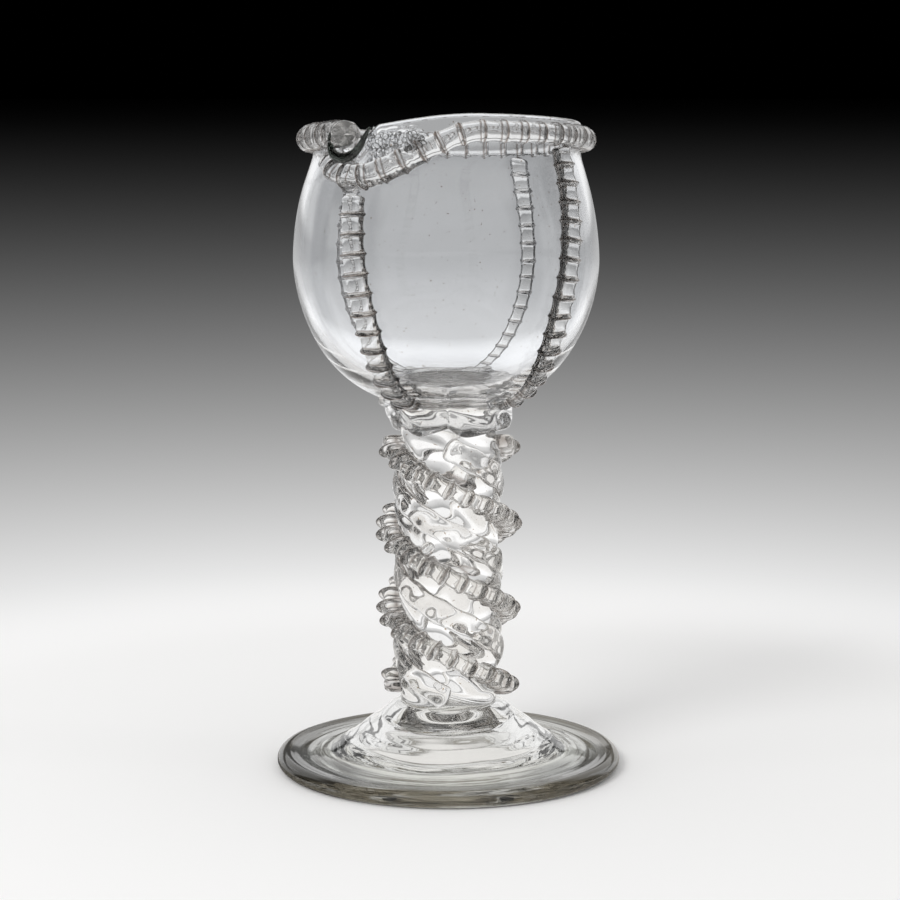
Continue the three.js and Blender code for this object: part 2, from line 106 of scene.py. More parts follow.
# %% Node arithmetic
class Wire:
    """A node's output that takes part in Python arithmetic."""

    def __init__(self, graph, socket):
        self.graph = graph
        self.socket = socket

    def maths(self, operation, *others):
        return self.graph.maths(operation, self, *others)

    def __add__(self, other):
        return self.maths("ADD", other)

    __radd__ = __add__

    def __sub__(self, other):
        return self.maths("SUBTRACT", other)

    def __rsub__(self, other):
        return self.graph.maths("SUBTRACT", other, self)

    def __mul__(self, other):
        return self.maths("MULTIPLY", other)

    __rmul__ = __mul__

    def __truediv__(self, other):
        return self.maths("DIVIDE", other)

    def __rtruediv__(self, other):
        return self.graph.maths("DIVIDE", other, self)

    def __pow__(self, other):
        return self.maths("POWER", other)

    def at_most(self, other):
        return self.maths("MINIMUM", other)

    def at_least(self, other):
        return self.maths("MAXIMUM", other)

    def step_between(self, low, high):
        """Rises smoothly from 0 at low to 1 at high."""
        smooth = {"interpolation_type": "SMOOTHSTEP"}
        sockets = {"Value": self, "From_Min": low, "From_Max": high}
        return self.graph.add("ShaderNodeMapRange", smooth, **sockets)["Result"]

    def window(self, rise, full, fall, end):
        """Rises smoothly from 0 to 1, stays there, and falls back to 0."""
        return self.step_between(rise, full) * (1 - self.step_between(fall, end))


class Made:
    """A node that was just added; its outputs are read by name, or the first one is taken."""

    def __init__(self, graph, node):
        self.graph = graph
        self.node = node

    def __getitem__(self, name):
        for socket in self.node.outputs:
            if socket.name == name and socket.enabled:
                return Wire(self.graph, socket)
        raise KeyError(name)

    def first(self):
        return Wire(self.graph, self.node.outputs[0])


class Graph:
    """A node tree that is filled from Python."""

    def __init__(self, tree):
        self.tree = tree

    def add(self, kind, settings=None, *values, **named):
        """Adds a node: its settings first, then its sockets by place or by name."""
        node = self.tree.nodes.new(kind)
        for key, setting in (settings or {}).items():
            setattr(node, key, setting)
        for place, value in enumerate(values):
            self.feed(node.inputs[place], value)
        for name, value in named.items():
            wanted = name.replace("_", " ")
            sockets = [s for s in node.inputs if s.name == wanted and s.enabled]
            self.feed(sockets[0], value)
        return Made(self, node)

    def feed(self, socket, value):
        """Links a wire to a socket, or sets the socket's value."""
        if isinstance(value, Wire):
            self.tree.links.new(value.socket, socket)
        else:
            socket.default_value = value

    def maths(self, operation, *values):
        return self.add("ShaderNodeMath", {"operation": operation}, *values)["Value"]

    def vector(self, operation, *values):
        """A vector sum; the result is a vector, or a number if the operation is a length."""
        node = self.add("ShaderNodeVectorMath", {"operation": operation}, *values)
        return node["Value" if operation == "LENGTH" else "Vector"]

    def stretched(self, vector, factor):
        """A vector times a number."""
        settings = {"operation": "SCALE"}
        return self.add("ShaderNodeVectorMath", settings, Vector=vector, Scale=factor)["Vector"]

    def parts(self, vector):
        """The node whose outputs X, Y and Z are a vector's three numbers."""
        return self.add("ShaderNodeSeparateXYZ", None, vector)

    def blend(self, factor, first, second, kind="RGBA"):
        """Mixes two colours, or two numbers if the kind is FLOAT."""
        node = self.add("ShaderNodeMix", {"data_type": kind}, Factor=factor, A=first, B=second)
        return node["Result"]

    def layered(self, factor, below, above):
        """Mixes two shaders."""
        return self.add("ShaderNodeMixShader", None, factor, below, above)["Shader"]

    def noise(self, where, scale, detail=2.0, roughness=0.5):
        """Smooth noise from 0 to 1."""
        return self.add("ShaderNodeTexNoise", None, where, 0.0, scale, detail, roughness).first()

    def place(self):
        """Where a point of the surface lies on its object."""
        return self.add("ShaderNodeTexCoord")["Object"]

    def mark(self, name):
        """A number that the mesh holds for each of its points."""
        return self.add("ShaderNodeAttribute", {"attribute_name": name})["Fac"]


# %% [markdown]
# ## Stage
# Clear glass shows little of itself: it shows its surroundings, bent. The photograph's backdrop
# runs from white at the foot to black above the rim, and the glass looks onto a paler sweep.
# A sweep and cards could be modelled, but the glass would see only their tones. So the floor is
# one wide disc whose tone depends on the distance from the cup, lit close by and glowing further
# out, and the world holds the tones above it. In both, dark cards at the flanks and a pale panel
# behind are worked out from the direction, so that the glass gets dark edges from any side.

# %% Stage tones
# The sweep starts at a distance in metres. Its tones are as the eye reads them, and to the power
# GAMMA they are light.
GAMMA = 2.2
SWEEP_START = 0.22
SWEEP_FULL = 0.42
WHITE_SLOPE = 0.224
EYE_GAIN = 1.06
GLASS_GAIN = 1.12
HORIZON_TONE = 0.60
NEAR_TONE = 0.64
SWEEP_RISE = 0.36
SWEEP_LIMIT = 1.03
# The tones of the panel, the room, the flanks and the cards are shares of full light, and
# CARD_SPAN says where a card begins and ends. TINY keeps a sum from dividing by nothing.
PANEL_TONE = 0.95
ROOM_TONE = 0.62
FLANK_TONE = 0.93
CARD_DEPTH = 0.93
CARD_SPAN = (0.2, 0.27, 0.5, 0.6)
TINY = 0.0001


def level_reach(across, along):
    """How far a direction reaches over the ground."""
    return (across * across + along * along).maths("SQRT").at_least(TINY)


def cards(across, along):
    """1 where no card stands, and little in the direction of a dark card at a flank."""
    beside = (along / level_reach(across, along)).maths("ABSOLUTE")
    return 1 - beside.window(*CARD_SPAN) * CARD_DEPTH


def behind(across, along):
    """1 straight behind the cup, less at its flanks, and the darker room's tone in front."""
    facing = along / level_reach(across, along)
    panel = facing.step_between(-0.05, 0.5) * (FLANK_TONE - ROOM_TONE) + ROOM_TONE
    return panel + facing.step_between(0.7, 0.9) * (1 - FLANK_TONE)


def sweep_tones(distance):
    """Light of the sweep to the eye, and its paler light as the glass sees it."""
    slope = CAMERA_HEIGHT / (distance + CAMERA_DISTANCE)
    share = slope / WHITE_SLOPE
    to_eye = (share * EYE_GAIN).at_most(1.0) ** GAMMA
    far_part = share * SWEEP_RISE + HORIZON_TONE
    near_part = share.step_between(0.55, 0.76) * SWEEP_RISE + NEAR_TONE
    to_glass = far_part.at_least(near_part).at_most(SWEEP_LIMIT) ** GAMMA
    return to_eye, to_glass * GLASS_GAIN


print("the sweep starts", SWEEP_START, "m from the cup and glows fully at", SWEEP_FULL, "m")

# %% [markdown]
# ## Floor close to the cup
# The floor has to be pale to the eye and keep the cup's shadow, so there it is a lit matt white.
# Through the thick rolled edge of the real foot it looks dark grey. A darker floor would do that
# too, but it wouldn't be pale. So only the rays that come through glass see a dark ring there.

# %% Floor
# The ring is darker at the front's sides and on the left, as in the photograph, and paler behind.
RING_TONE = 0.1
RING_SHARE = 0.62
FRONT_SIDES_SHARE = 0.25
LEFT_SHARE = 0.34
BACK_SHARE = 0.3
FLOOR_THROUGH_GLASS = 0.92
FLOOR_WHITE = (0.90, 0.895, 0.89, 1)
FLOOR_GLOW = (1, 0.985, 0.96, 1)
FLOOR_RADIUS = 60
WHITE = (1, 1, 1, 1)


def tone_under_foot(split, distance):
    """Light of the floor close by as the glass sees it, with its ring under the foot's roll."""
    forward = split["Y"] * -1 / distance.at_least(1 * MM)
    front_sides = forward.window(-0.3, 0.4, 0.4, 1.05)
    ring_start = distance + forward.step_between(0.1, 0.8) * (7 * MM) + front_sides * (8 * MM)
    ring = ring_start.step_between(44 * MM, 60 * MM)
    ring = ring * (1 - distance.step_between(74 * MM, 90 * MM))
    at_back = split["Y"].step_between(-20 * MM, 60 * MM)
    at_left = 1 - split["X"].step_between(-70 * MM, 10 * MM)
    share = RING_SHARE - at_back * BACK_SHARE + front_sides * FRONT_SIDES_SHARE
    dark_part = (ring * (share + at_left * LEFT_SHARE)).at_most(1)
    return (1 - dark_part * (1 - RING_TONE)) * FLOOR_THROUGH_GLASS


def floor_finish():
    """The floor's material: lit and pale close by, and a glowing sweep further out."""
    material = bpy.data.materials.new("pale_floor")
    material.use_nodes = True
    material.node_tree.nodes.clear()
    graph = Graph(material.node_tree)
    split = graph.parts(graph.place())
    distance = graph.vector("LENGTH", graph.place())
    rays = graph.add("ShaderNodeLightPath")
    to_eye, to_glass = sweep_tones(distance)
    room = behind(split["X"], split["Y"]) * cards(split["X"], split["Y"])
    glow = graph.blend(rays["Is Camera Ray"], to_glass * room, to_eye, "FLOAT")
    sweep = graph.add("ShaderNodeEmission", None, WHITE, glow)["Emission"]
    lit = graph.add("ShaderNodeBsdfDiffuse", None, FLOOR_WHITE)["BSDF"]
    under_tone = tone_under_foot(split, distance)
    under_glass = graph.add("ShaderNodeEmission", None, FLOOR_GLOW, under_tone)["Emission"]
    through_glass = rays["Is Transmission Ray"].at_least(rays["Is Glossy Ray"])
    close_by = graph.layered(through_glass, lit, under_glass)
    far_away = distance.step_between(SWEEP_START, SWEEP_FULL)
    graph.add("ShaderNodeOutputMaterial", None, graph.layered(far_away, close_by, sweep))
    print("pale floor has", len(graph.tree.nodes), "nodes")
    return material


bpy.ops.mesh.primitive_circle_add(vertices=64, radius=FLOOR_RADIUS, fill_type="TRIFAN")
floor = bpy.context.object
floor.name = "floor"
floor.data.materials.append(floor_finish())

# %% [markdown]
# ## Surroundings above the floor
# The world could hold a photographed room, but tones that follow a direction are easier to steer.
# They are pale low down and dark overhead, with darker high sides, and with one dark band behind
# the cup, which draws dark lines into the thick glass. To the eye the world is black, as the top
# of the photograph's backdrop is.

# %% Surroundings
SOFT_LIGHT = 0.79
HORIZON_HAZE = 0.035
DARK_BAND = (0.195, 0.235, 0.275, 0.31)
BAND_DEPTH = 0.85
CEILING = (0.62, 0.74)
CEILING_TONE = 0.01
HIGH_SIDES = (0.12, 0.24)
SIDE_DEPTH = 0.88

world = bpy.data.worlds.new("surroundings")
world.use_nodes = True
world.node_tree.nodes.clear()
bpy.context.scene.world = world
world_graph = Graph(world.node_tree)
direction = world_graph.parts(world_graph.add("ShaderNodeTexCoord")["Generated"])
height = direction["Z"]
flat_reach = (1 - height * height).at_least(TINY).maths("SQRT")
facing = direction["Y"] / flat_reach
sweep_edge = HORIZON_TONE**GAMMA * GLASS_GAIN
sky = height.step_between(0.0, HORIZON_HAZE) * (PANEL_TONE - sweep_edge) + sweep_edge
sky = sky * (1 - height.window(*DARK_BAND) * facing.step_between(0.45, 0.85) * BAND_DEPTH)
sky = sky * (1 - height.step_between(*CEILING)) + CEILING_TONE
beside = 1 - facing.maths("ABSOLUTE").step_between(0.4, 0.62)
sky = sky * (1 - height.step_between(*HIGH_SIDES) * beside * SIDE_DEPTH)
sky = sky * cards(direction["X"], direction["Y"]) * behind(direction["X"], direction["Y"])
world_rays = world_graph.add("ShaderNodeLightPath")
unseen = 1 - world_rays["Is Camera Ray"]
glass_ray = world_rays["Is Glossy Ray"].at_least(world_rays["Is Transmission Ray"])
light = unseen * world_graph.blend(glass_ray, SOFT_LIGHT, sky, "FLOAT")
background = world_graph.add("ShaderNodeBackground", None, WHITE, light)
world_graph.add("ShaderNodeOutputWorld", None, background["Background"])
print("surroundings have", len(world.node_tree.nodes), "nodes")

# %% [markdown]
# ## Lamps
# Glass takes its look from what it mirrors, and a lamp mirrored in it would be a hard white
# patch. So three soft boxes light the floor and cast the shadow, and glass doesn't see them.


# %% Lamps
def soft_lamp(name, place, width, height, power):
    """A rectangular softbox that faces the middle of the cup."""
    lamp = bpy.data.lights.new(name, "AREA")
    lamp.shape = "RECTANGLE"
    lamp.size = width
    lamp.size_y = height
    lamp.energy = power
    holder = bpy.data.objects.new(name, lamp)
    holder.location = place
    middle = (cad_low + cad_high) / 2
    holder.rotation_euler = (holder.location - middle).to_track_quat("Z", "Y").to_euler()
    holder.visible_glossy = False
    holder.visible_transmission = False
    bpy.context.scene.collection.objects.link(holder)
    print(name, "gives", power, "W")


soft_lamp("key_softbox", (-1.1, -1.3, 1.5), 0.8, 0.8, 16)
soft_lamp("left_strip", (-1.5, -0.3, 0.45), 0.22, 1.1, 2.0)
soft_lamp("right_strip", (1.5, -0.3, 0.45), 0.22, 1.1, 1.6)

# %% [markdown]
# ## Turned skins
# The bowl, the stem, the collar and the foot are turned shapes that a hand has pushed about. A
# Screw modifier can turn an outline, but then tilting, pulling and lobes need more modifiers. So
# each starts as an outline of radius and height, and its own rule places every point: it tilts
# the mouth, draws out the pouring lip and adds the unevenness of hand-blown glass.


# %% Mesh helpers
ON_AXIS = 0.0001 * MM


def polar(azimuth, radius, height):
    """The point at an azimuth, which is 0 at the front and grows towards +X."""
    return (radius * math.sin(azimuth), -radius * math.cos(azimuth), height)


def add_piece(name, points, faces):
    """Links a smooth mesh made of points and faces."""
    mesh = bpy.data.meshes.new(name)
    mesh.from_pydata(points, [], faces)
    mesh.shade_smooth()
    piece = bpy.data.objects.new(name, mesh)
    bpy.context.scene.collection.objects.link(piece)
    return piece


def turned_piece(name, outline, turns, rule, closed=False):
    """Turns an outline about the axis; rule(azimuth, radius, height) places each point."""
    points = []
    rings = []
    for radius, height in outline:
        count = 1 if radius < ON_AXIS else turns
        rings.append(range(len(points), len(points) + count))
        for k in range(count):
            points.append(rule(2 * math.pi * k / turns, radius, height))
    if closed:
        rings.append(rings[0])
    faces = []
    for low, high in zip(rings, rings[1:]):
        for k in range(turns):
            after = (k + 1) % turns
            corners = (
                low[k % len(low)],
                low[after % len(low)],
                high[after % len(high)],
                high[k % len(high)],
            )
            faces.append(list(dict.fromkeys(corners)))
    piece = add_piece(name, points, faces)
    print(name, "has", len(points), "points")
    return piece


def smooth_step(value, low, high):
    """Rises smoothly from 0 at low to 1 at high."""
    share = min(max((value - low) / (high - low), 0.0), 1.0)
    return share * share * (3 - 2 * share)


def arc(centre, half_width, half_height, start, end, steps):
    """Points of an ellipse's arc, from one angle to another."""
    points = []
    for i in range(steps + 1):
        turn = math.radians(start + (end - start) * i / steps)
        across = centre[0] + half_width * math.cos(turn)
        points.append((across, centre[1] + half_height * math.sin(turn)))
    return points


def bezier(controls, steps):
    """Points of a cubic curve through the first and last of four controls, drawn by the others."""
    points = []
    for i in range(steps + 1):
        t = i / steps
        weights = ((1 - t) ** 3, 3 * t * (1 - t) ** 2, 3 * t * t * (1 - t), t**3)
        points.append(tuple(sum(w * p[k] for w, p in zip(weights, controls)) for k in (0, 1)))
    return points


# %% [markdown]
# ## Shape of the bowl
# Below its widest ring the bowl is a blunt egg, and above it a smooth shoulder draws in to the
# neck. The mouth's plane is tilted, high at the front. Towards the left the lip sinks, and
# there it was pulled out and down with a tool into a channel to pour from, with a thick edge.
# Sculpting could do that, but rules keep the wall even, and the trails use them to lie on it.

# %% Bowl sizes
WIDEST_HEIGHT = BOWL_BOTTOM + 55.3 * MM
NECK_START = WIDEST_HEIGHT + 40.2 * MM
NECK_RADIUS = 50 * MM
LIP_HEIGHT = NECK_START + 10.6 * MM
WALL = 2.4 * MM
BOTTOM_THICKNESS = 5.5 * MM
EGG_POWER = 1.7
EGG_BLUNTNESS = 0.3525
MOUTH_RISE = NECK_RADIUS * math.tan(math.radians(4.8))
BOWL_LEAN = -0.9 * MM
RIM_TRAIL_HEIGHT = NECK_START + 4.4 * MM
LIP_FOOT = NECK_START - 12 * MM
EDGE_HEIGHT = LIP_HEIGHT - WALL / 2
SINK_AZIMUTH = math.radians(-52)
SINK_SPREADS = (48, 66)
SINK_DEPTH = 5 * MM
DIP_AZIMUTH = math.radians(-38)
DIP_SPREADS = (38, 53)
DIP_DEPTH = 16.5 * MM
CHANNEL_AZIMUTH = math.radians(-40.5)
CHANNEL_SPREADS = (11.5, 11.5)
CHANNEL_DEPTH = 9.5 * MM
CHANNEL_REACH = 4.5 * MM
CHANNEL_THICKENING = 0.75
LUMPS_AZIMUTH = math.radians(-25)
LUMPS_SPREADS = (17, 17)
LUMPS_START = (229 * MM, 234 * MM)
LUMPS_HEIGHT = 0.65 * MM
print("bowl is widest at", round(WIDEST_HEIGHT / MM, 1), "mm, lip at", round(LIP_HEIGHT / MM, 1))


# %% Rules of the mouth
def hump(azimuth, middle, spreads):
    """1 at a middle azimuth and 0 from its spread outwards, in degrees to the left and right."""
    offset = math.degrees((azimuth - middle + math.pi) % (2 * math.pi) - math.pi)
    share = min(abs(offset) / spreads[0 if offset < 0 else 1], 1)
    return math.cos(share * math.pi / 2) ** 2


def mouth_rise(azimuth):
    """How far the tilt of the mouth lifts its rim."""
    return MOUTH_RISE * math.cos(azimuth)


def trail_dip(azimuth):
    """How far the trail round the neck swings down to pass under the channel."""
    return DIP_DEPTH * hump(azimuth, DIP_AZIMUTH, DIP_SPREADS)


def channel_at(azimuth):
    """1 in the middle of the pouring channel, and 0 outside it."""
    return hump(azimuth, CHANNEL_AZIMUTH, CHANNEL_SPREADS)


def shaped(azimuth, radius, height):
    """Radius and height of a wall point once the mouth is tilted and its lip is drawn out."""
    sink = hump(azimuth, SINK_AZIMUTH, SINK_SPREADS)
    channel = channel_at(azimuth)
    bend = smooth_step(height, WIDEST_HEIGHT, NECK_START)
    share = min(max((height - LIP_FOOT) / (LIP_HEIGHT - LIP_FOOT), 0), 1)
    drop = share * (SINK_DEPTH * sink + CHANNEL_DEPTH * channel)
    reach = CHANNEL_REACH * channel * smooth_step(share, 0.5, 1)
    return radius + reach, height + bend * mouth_rise(azimuth) - drop


def leaned(place):
    """The bowl leans a little to the left of the stem, and its mouth leans half as far."""
    lean = smooth_step(place[2], 135 * MM, 165 * MM)
    lean *= 1 - 0.5 * smooth_step(place[2], 215 * MM, 245 * MM)
    return (place[0] + BOWL_LEAN * lean, place[1], place[2])


def unevenness(azimuth, height):
    """The slight waves that blowing and turning leave in a wall."""
    first = math.sin(2 * azimuth + height / (31 * MM))
    second = math.sin(3 * azimuth - height / (17 * MM) + 1.3)
    third = math.sin(5 * azimuth + height / (11 * MM) + 4.1)
    return (0.22 * first + 0.16 * second + 0.09 * third) * MM


def lumps(azimuth, height):
    """Lumpy glass on the flank of the channel, which the tool pulled and chilled."""
    zone = hump(azimuth, LUMPS_AZIMUTH, LUMPS_SPREADS) * smooth_step(height, *LUMPS_START)
    across = azimuth * NECK_RADIUS / MM
    up = height / MM
    first = math.sin(across * 1.5 + math.sin(up * 1.1) * 1.9)
    second = math.sin(up * 1.9 + math.sin(across * 0.9 + 2) * 2.3)
    third = math.sin(across * 2.9 - up * 1.7 + 1)
    return zone * (first * second + 0.4 * third) * LUMPS_HEIGHT


def bowl_point(azimuth, radius, height):
    """Where a point of the plain bowl ends up on the real one."""
    middle = NECK_RADIUS - WALL / 2
    thick = CHANNEL_THICKENING * smooth_step(height, LIP_HEIGHT - 6 * MM, EDGE_HEIGHT)
    thick = 1 + thick * channel_at(azimuth)
    if height > EDGE_HEIGHT:
        across, level = shaped(azimuth, middle, EDGE_HEIGHT)
        across += (radius - middle) * thick
        level += (height - EDGE_HEIGHT) * thick
    elif height > NECK_START:
        across, level = shaped(azimuth, middle, height)
        across += (radius - middle) * thick
    else:
        across, level = shaped(azimuth, radius, height)
    fade = smooth_step(height, BOWL_BOTTOM, BOWL_BOTTOM + 20 * MM)
    fade *= 1 - smooth_step(height, LIP_FOOT - 20 * MM, LIP_FOOT)
    across += unevenness(azimuth, height) * fade
    if radius > middle:
        below_edge = 1 - smooth_step(height, EDGE_HEIGHT - 3 * MM, EDGE_HEIGHT)
        across += lumps(azimuth, level) * below_edge
    return leaned(polar(azimuth, across, level))


def wall_outline(widest, neck, bottom, steps):
    """Outline of a bowl wall, from the axis up to the start of the neck."""
    points = []
    for i in range(steps + 1):
        turn = i / steps * math.pi / 2
        radius = widest * math.sin(turn) ** (2 * EGG_BLUNTNESS)
        depth = max(math.cos(turn), 0) ** (2 / EGG_POWER)
        points.append((radius, WIDEST_HEIGHT - depth * (WIDEST_HEIGHT - bottom)))
    controls = (
        (widest, WIDEST_HEIGHT),
        (widest, WIDEST_HEIGHT + 22 * MM),
        (neck, NECK_START - 5 * MM),
        (neck, NECK_START),
    )
    return points + bezier(controls, steps)[1:]


def underside(radius):
    """Height of the bowl's outside at a radius below its widest ring."""
    share = radius / BOWL_RADIUS
    depth = (1 - share ** (1 / EGG_BLUNTNESS)) ** (1 / EGG_POWER)
    return WIDEST_HEIGHT - depth * (WIDEST_HEIGHT - BOWL_BOTTOM)


# %% Outline of the bowl
WALL_STEPS = 40
NECK_STEPS = 22
EDGE_STEPS = 12


def bowl_outline():
    """Up the outside, over the rounded lip and down the inside."""
    outside = wall_outline(BOWL_RADIUS, NECK_RADIUS, BOWL_BOTTOM, WALL_STEPS)
    inner_bottom = BOWL_BOTTOM + BOTTOM_THICKNESS
    inside = wall_outline(BOWL_RADIUS - WALL, NECK_RADIUS - WALL, inner_bottom, WALL_STEPS)
    rise = EDGE_HEIGHT - NECK_START
    rows = [NECK_START + rise * i / NECK_STEPS for i in range(1, NECK_STEPS + 1)]
    middle = (NECK_RADIUS - WALL / 2, EDGE_HEIGHT)
    edge = arc(middle, WALL / 2, WALL / 2, 0, 180, EDGE_STEPS)
    return (
        outside
        + [(NECK_RADIUS, height) for height in rows]
        + edge[1:-1]
        + [(NECK_RADIUS - WALL, height) for height in reversed(rows)]
        + inside[::-1]
    )


# %% [markdown]
# ## Roll and ridges at the channel
# The tool rolled the channel's lip into a thick round edge, and left small sharp ridges of chilled
# glass beside it. Sculpted on the wall they would need a very fine mesh. So they are rods, each
# one closed, that run into the wall as fused glass does.

# %% Rolled lip
# Each station of the roll is its azimuth in degrees, its height and its radius in millimetres.
LIP_STATIONS = (
    (-31.2, 244.6, 0.5),
    (-32.2, 241.6, 0.9),
    (-33.4, 238.4, 1.25),
    (-36.0, 235.4, 1.6),
    (-40.0, 233.9, 1.9),
    (-44.0, 234.6, 1.8),
    (-46.8, 236.6, 1.4),
    (-48.0, 239.5, 1.1),
    (-47.2, 242.2, 0.8),
    (-44.6, 243.6, 0.45),
)
LIP_STEPS = 72


def smooth_through(stations, share):
    """The numbers at a share of the way along a smooth line through stations."""
    last = len(stations) - 1
    k = min(int(share * last), last - 1)
    t = share * last - k
    picks = [stations[min(max(k + step, 0), last)] for step in (-1, 0, 1, 2)]
    weights = (
        (-t + 2 * t * t - t**3) / 2,
        (2 - 5 * t * t + 3 * t**3) / 2,
        (t + 4 * t * t - 3 * t**3) / 2,
        (-t * t + t**3) / 2,
    )
    return [sum(w * p[n] for w, p in zip(weights, picks)) for n in range(3)]


def lip_roll():
    """Centre line and radii of the roll at the channel's end, from its right arm round."""
    line = []
    for i in range(LIP_STEPS + 1):
        along = i / LIP_STEPS
        azimuth, height, size = smooth_through(LIP_STATIONS, along)
        reach = NECK_RADIUS + (3.2 + 4.2 * math.sin(math.pi * along) ** 0.8) * MM
        place = leaned(polar(math.radians(azimuth), reach, height * MM))
        line.append((Vector(place), size * MM))
    return line


# %% Rods of glass
def rod_rings(body, line, sides):
    """Adds the points of a rod, ring by ring; the line holds centres and radii."""
    rings = []
    for i, (centre, size) in enumerate(line):
        along = (line[min(i + 1, len(line) - 1)][0] - line[max(i - 1, 0)][0]).normalized()
        side = along.cross(Vector((centre.x, centre.y, 0))).normalized()
        up = side.cross(along)
        ring = []
        for k in range(sides):
            turn = 2 * math.pi * k / sides
            spoke = side * math.cos(turn) + up * math.sin(turn)
            ring.append(body.verts.new(centre + spoke * size))
        rings.append(ring)
    return rings


def rod_faces(body, rings, ends, sides):
    """Closes a rod round its rings and over both of its ends."""
    for low, high in zip(rings, rings[1:]):
        for k in range(sides):
            after = (k + 1) % sides
            yield body.faces.new((low[k], high[k], high[after], low[after]))
    for ring, centre, order in ((rings[0], ends[0], 1), (rings[-1], ends[1], -1)):
        tip = body.verts.new(centre)
        for k in range(sides):
            pair = (ring[k], ring[(k + 1) % sides])[::order]
            yield body.faces.new((*pair, tip))


def add_rods(piece, lines, sides):
    """Adds closed rods to a piece's mesh, in the piece's own glass."""
    body = bmesh.new()
    body.from_mesh(piece.data)
    body.faces.ensure_lookup_table()
    slot = body.faces[0].material_index
    for line in lines:
        rings = rod_rings(body, line, sides)
        for face in rod_faces(body, rings, (line[0][0], line[-1][0]), sides):
            face.material_index = slot
            face.smooth = True
    body.to_mesh(piece.data)
    body.free()
    print(piece.name, "has", len(piece.data.vertices), "points with", len(lines), "added rods")


SPINDLE_STEPS = 8
SPINDLE_TIP = 0.35


def spindle(centre, reach, radius):
    """Centre line and radii of a lump of glass that reaches both ways from its centre."""
    line = []
    for i in range(SPINDLE_STEPS + 1):
        turn = math.pi * (i + SPINDLE_TIP) / (SPINDLE_STEPS + 2 * SPINDLE_TIP)
        line.append((centre - reach * math.cos(turn), math.sin(turn) * radius))
    return line


# %% Ridges of the lumpy glass
# Steps of these shares of 1 spread places evenly, and never repeat them.
ACROSS_STEP = 0.754878
UP_STEP = 0.569840
LOT_STEP = 0.618034
RIDGES = 64
# The ridges lie between two azimuths in degrees, over a slanting field of the wall.
RIDGES_START = -34
RIDGES_SPAN = 25
FIELD_LOW = 231.5 * MM
FIELD_LOW_RISE = 6.5 * MM
FIELD_HIGH = 243.6 * MM
FIELD_HIGH_DROP = 1.2 * MM


def ridges_beside_channel():
    """Small ridges of the lumpy glass between the lip and the trail, laid every way."""
    ridges = []
    for k in range(RIDGES):
        across = (k * ACROSS_STEP) % 1
        up = (k * UP_STEP + 0.3) % 1
        lot = (k * LOT_STEP) % 1
        azimuth = math.radians(RIDGES_START + RIDGES_SPAN * across)
        low = FIELD_LOW + FIELD_LOW_RISE * across
        level = low + (FIELD_HIGH - FIELD_HIGH_DROP * across - low) * up
        centre = Vector(leaned(polar(azimuth, NECK_RADIUS - 0.1 * MM, level)))
        aside = Vector(polar(azimuth + math.pi / 2, 1, 0))
        turn = 2.6 * lot + 0.9 * math.sin(5 * across + 3 * up)
        reach = aside * math.cos(turn) + Vector((0, 0, 1)) * math.sin(turn)
        size = 0.55 + 0.6 * ((lot * 7.3) % 1)
        ridges.append(spindle(centre, reach * (1 + 1.3 * lot) * MM, size * MM))
    return ridges


# %% Bowl
bowl = turned_piece("cup_bowl", bowl_outline(), 360, bowl_point)
roll_start = len(bowl.data.vertices)
add_rods(bowl, [lip_roll()], 20)
ridges_start = len(bowl.data.vertices)
add_rods(bowl, ridges_beside_channel(), 12)

# %% [markdown]
# ## Marks on the mesh
# The bowl's glass has three looks: clear, dark with painted shade in its rolled lip, and milky
# in the ridges, and a dried stain lies in its bottom. Vertex groups or UV maps could say where.
# An attribute is plainer: the mesh holds one number for each of its points, which the material
# reads.


# %% Marks
def mark(mesh, name, values):
    """Stores one number for each point of a mesh."""
    attribute = mesh.attributes.new(name, "FLOAT", "POINT")
    attribute.data.foreach_set("value", values)
    print(mesh.name, "has the mark", name, "up to", round(max(values), 2))


def stain_share(place):
    """How strongly the inside of the bowl's bottom is stained at a place: most in its middle."""
    radius = math.hypot(place.x - BOWL_LEAN * 0.3, place.y)
    inside = radius < 40 * MM and place.z > underside(radius) + 2 * MM
    return 1 - smooth_step(radius, 9 * MM, 31 * MM) if inside else 0.0


count = len(bowl.data.vertices)
mark(bowl.data, "stain", [stain_share(vertex.co) for vertex in bowl.data.vertices])
# The mark thick says where the lip's roll gets painted shade.
mark(bowl.data, "thick", [float(roll_start <= k < ridges_start) for k in range(count)])
mark(bowl.data, "milky", [0.6 if k >= ridges_start else 0.0 for k in range(count)])

# %% [markdown]
# ## Places on the bowl
# The trails lie on the bowl's outside, so their paths have to find it. A Shrinkwrap modifier
# could press them on, but the wall already has a rule, which also gives the way out of it.

# %% Places on the bowl's outside
OUTER_WALL_STEPS = 120
OUTER_WALL = wall_outline(BOWL_RADIUS, NECK_RADIUS, BOWL_BOTTOM, OUTER_WALL_STEPS)
OUTER_WALL.append((NECK_RADIUS, LIP_HEIGHT))
print("outer wall has", len(OUTER_WALL), "places")


def wall_at(azimuth, height):
    """The point of the outside, above its widest ring, that lies at a finished height."""
    places = [shaped(azimuth, *p) for p in OUTER_WALL if p[1] >= WIDEST_HEIGHT]
    for (r0, z0), (r1, z1) in zip(places, places[1:]):
        if z1 >= height:
            return polar(azimuth, r0 + (r1 - r0) * (height - z0) / (z1 - z0), height)
    return polar(azimuth, NECK_RADIUS, height)


def outward_at(azimuth, height):
    """The way out of the wall at a place on it."""
    low = Vector(wall_at(azimuth, height - 1 * MM))
    high = Vector(wall_at(azimuth, height + 1 * MM))
    across = Vector(polar(azimuth + math.pi / 2, 1, 0))
    return across.cross(high - low).normalized()


# %% [markdown]
# ## Foot
# The foot is one domed disc whose edge was folded and rolled, so it is thickest there. Its
# underside is hollow, and in the middle of the hollow is the scar where the pontil iron was
# broken off. Faint rings show where the tool pressed while the foot turned. In clear glass a
# bump would not do for them, because the outline and the underside bend light too.

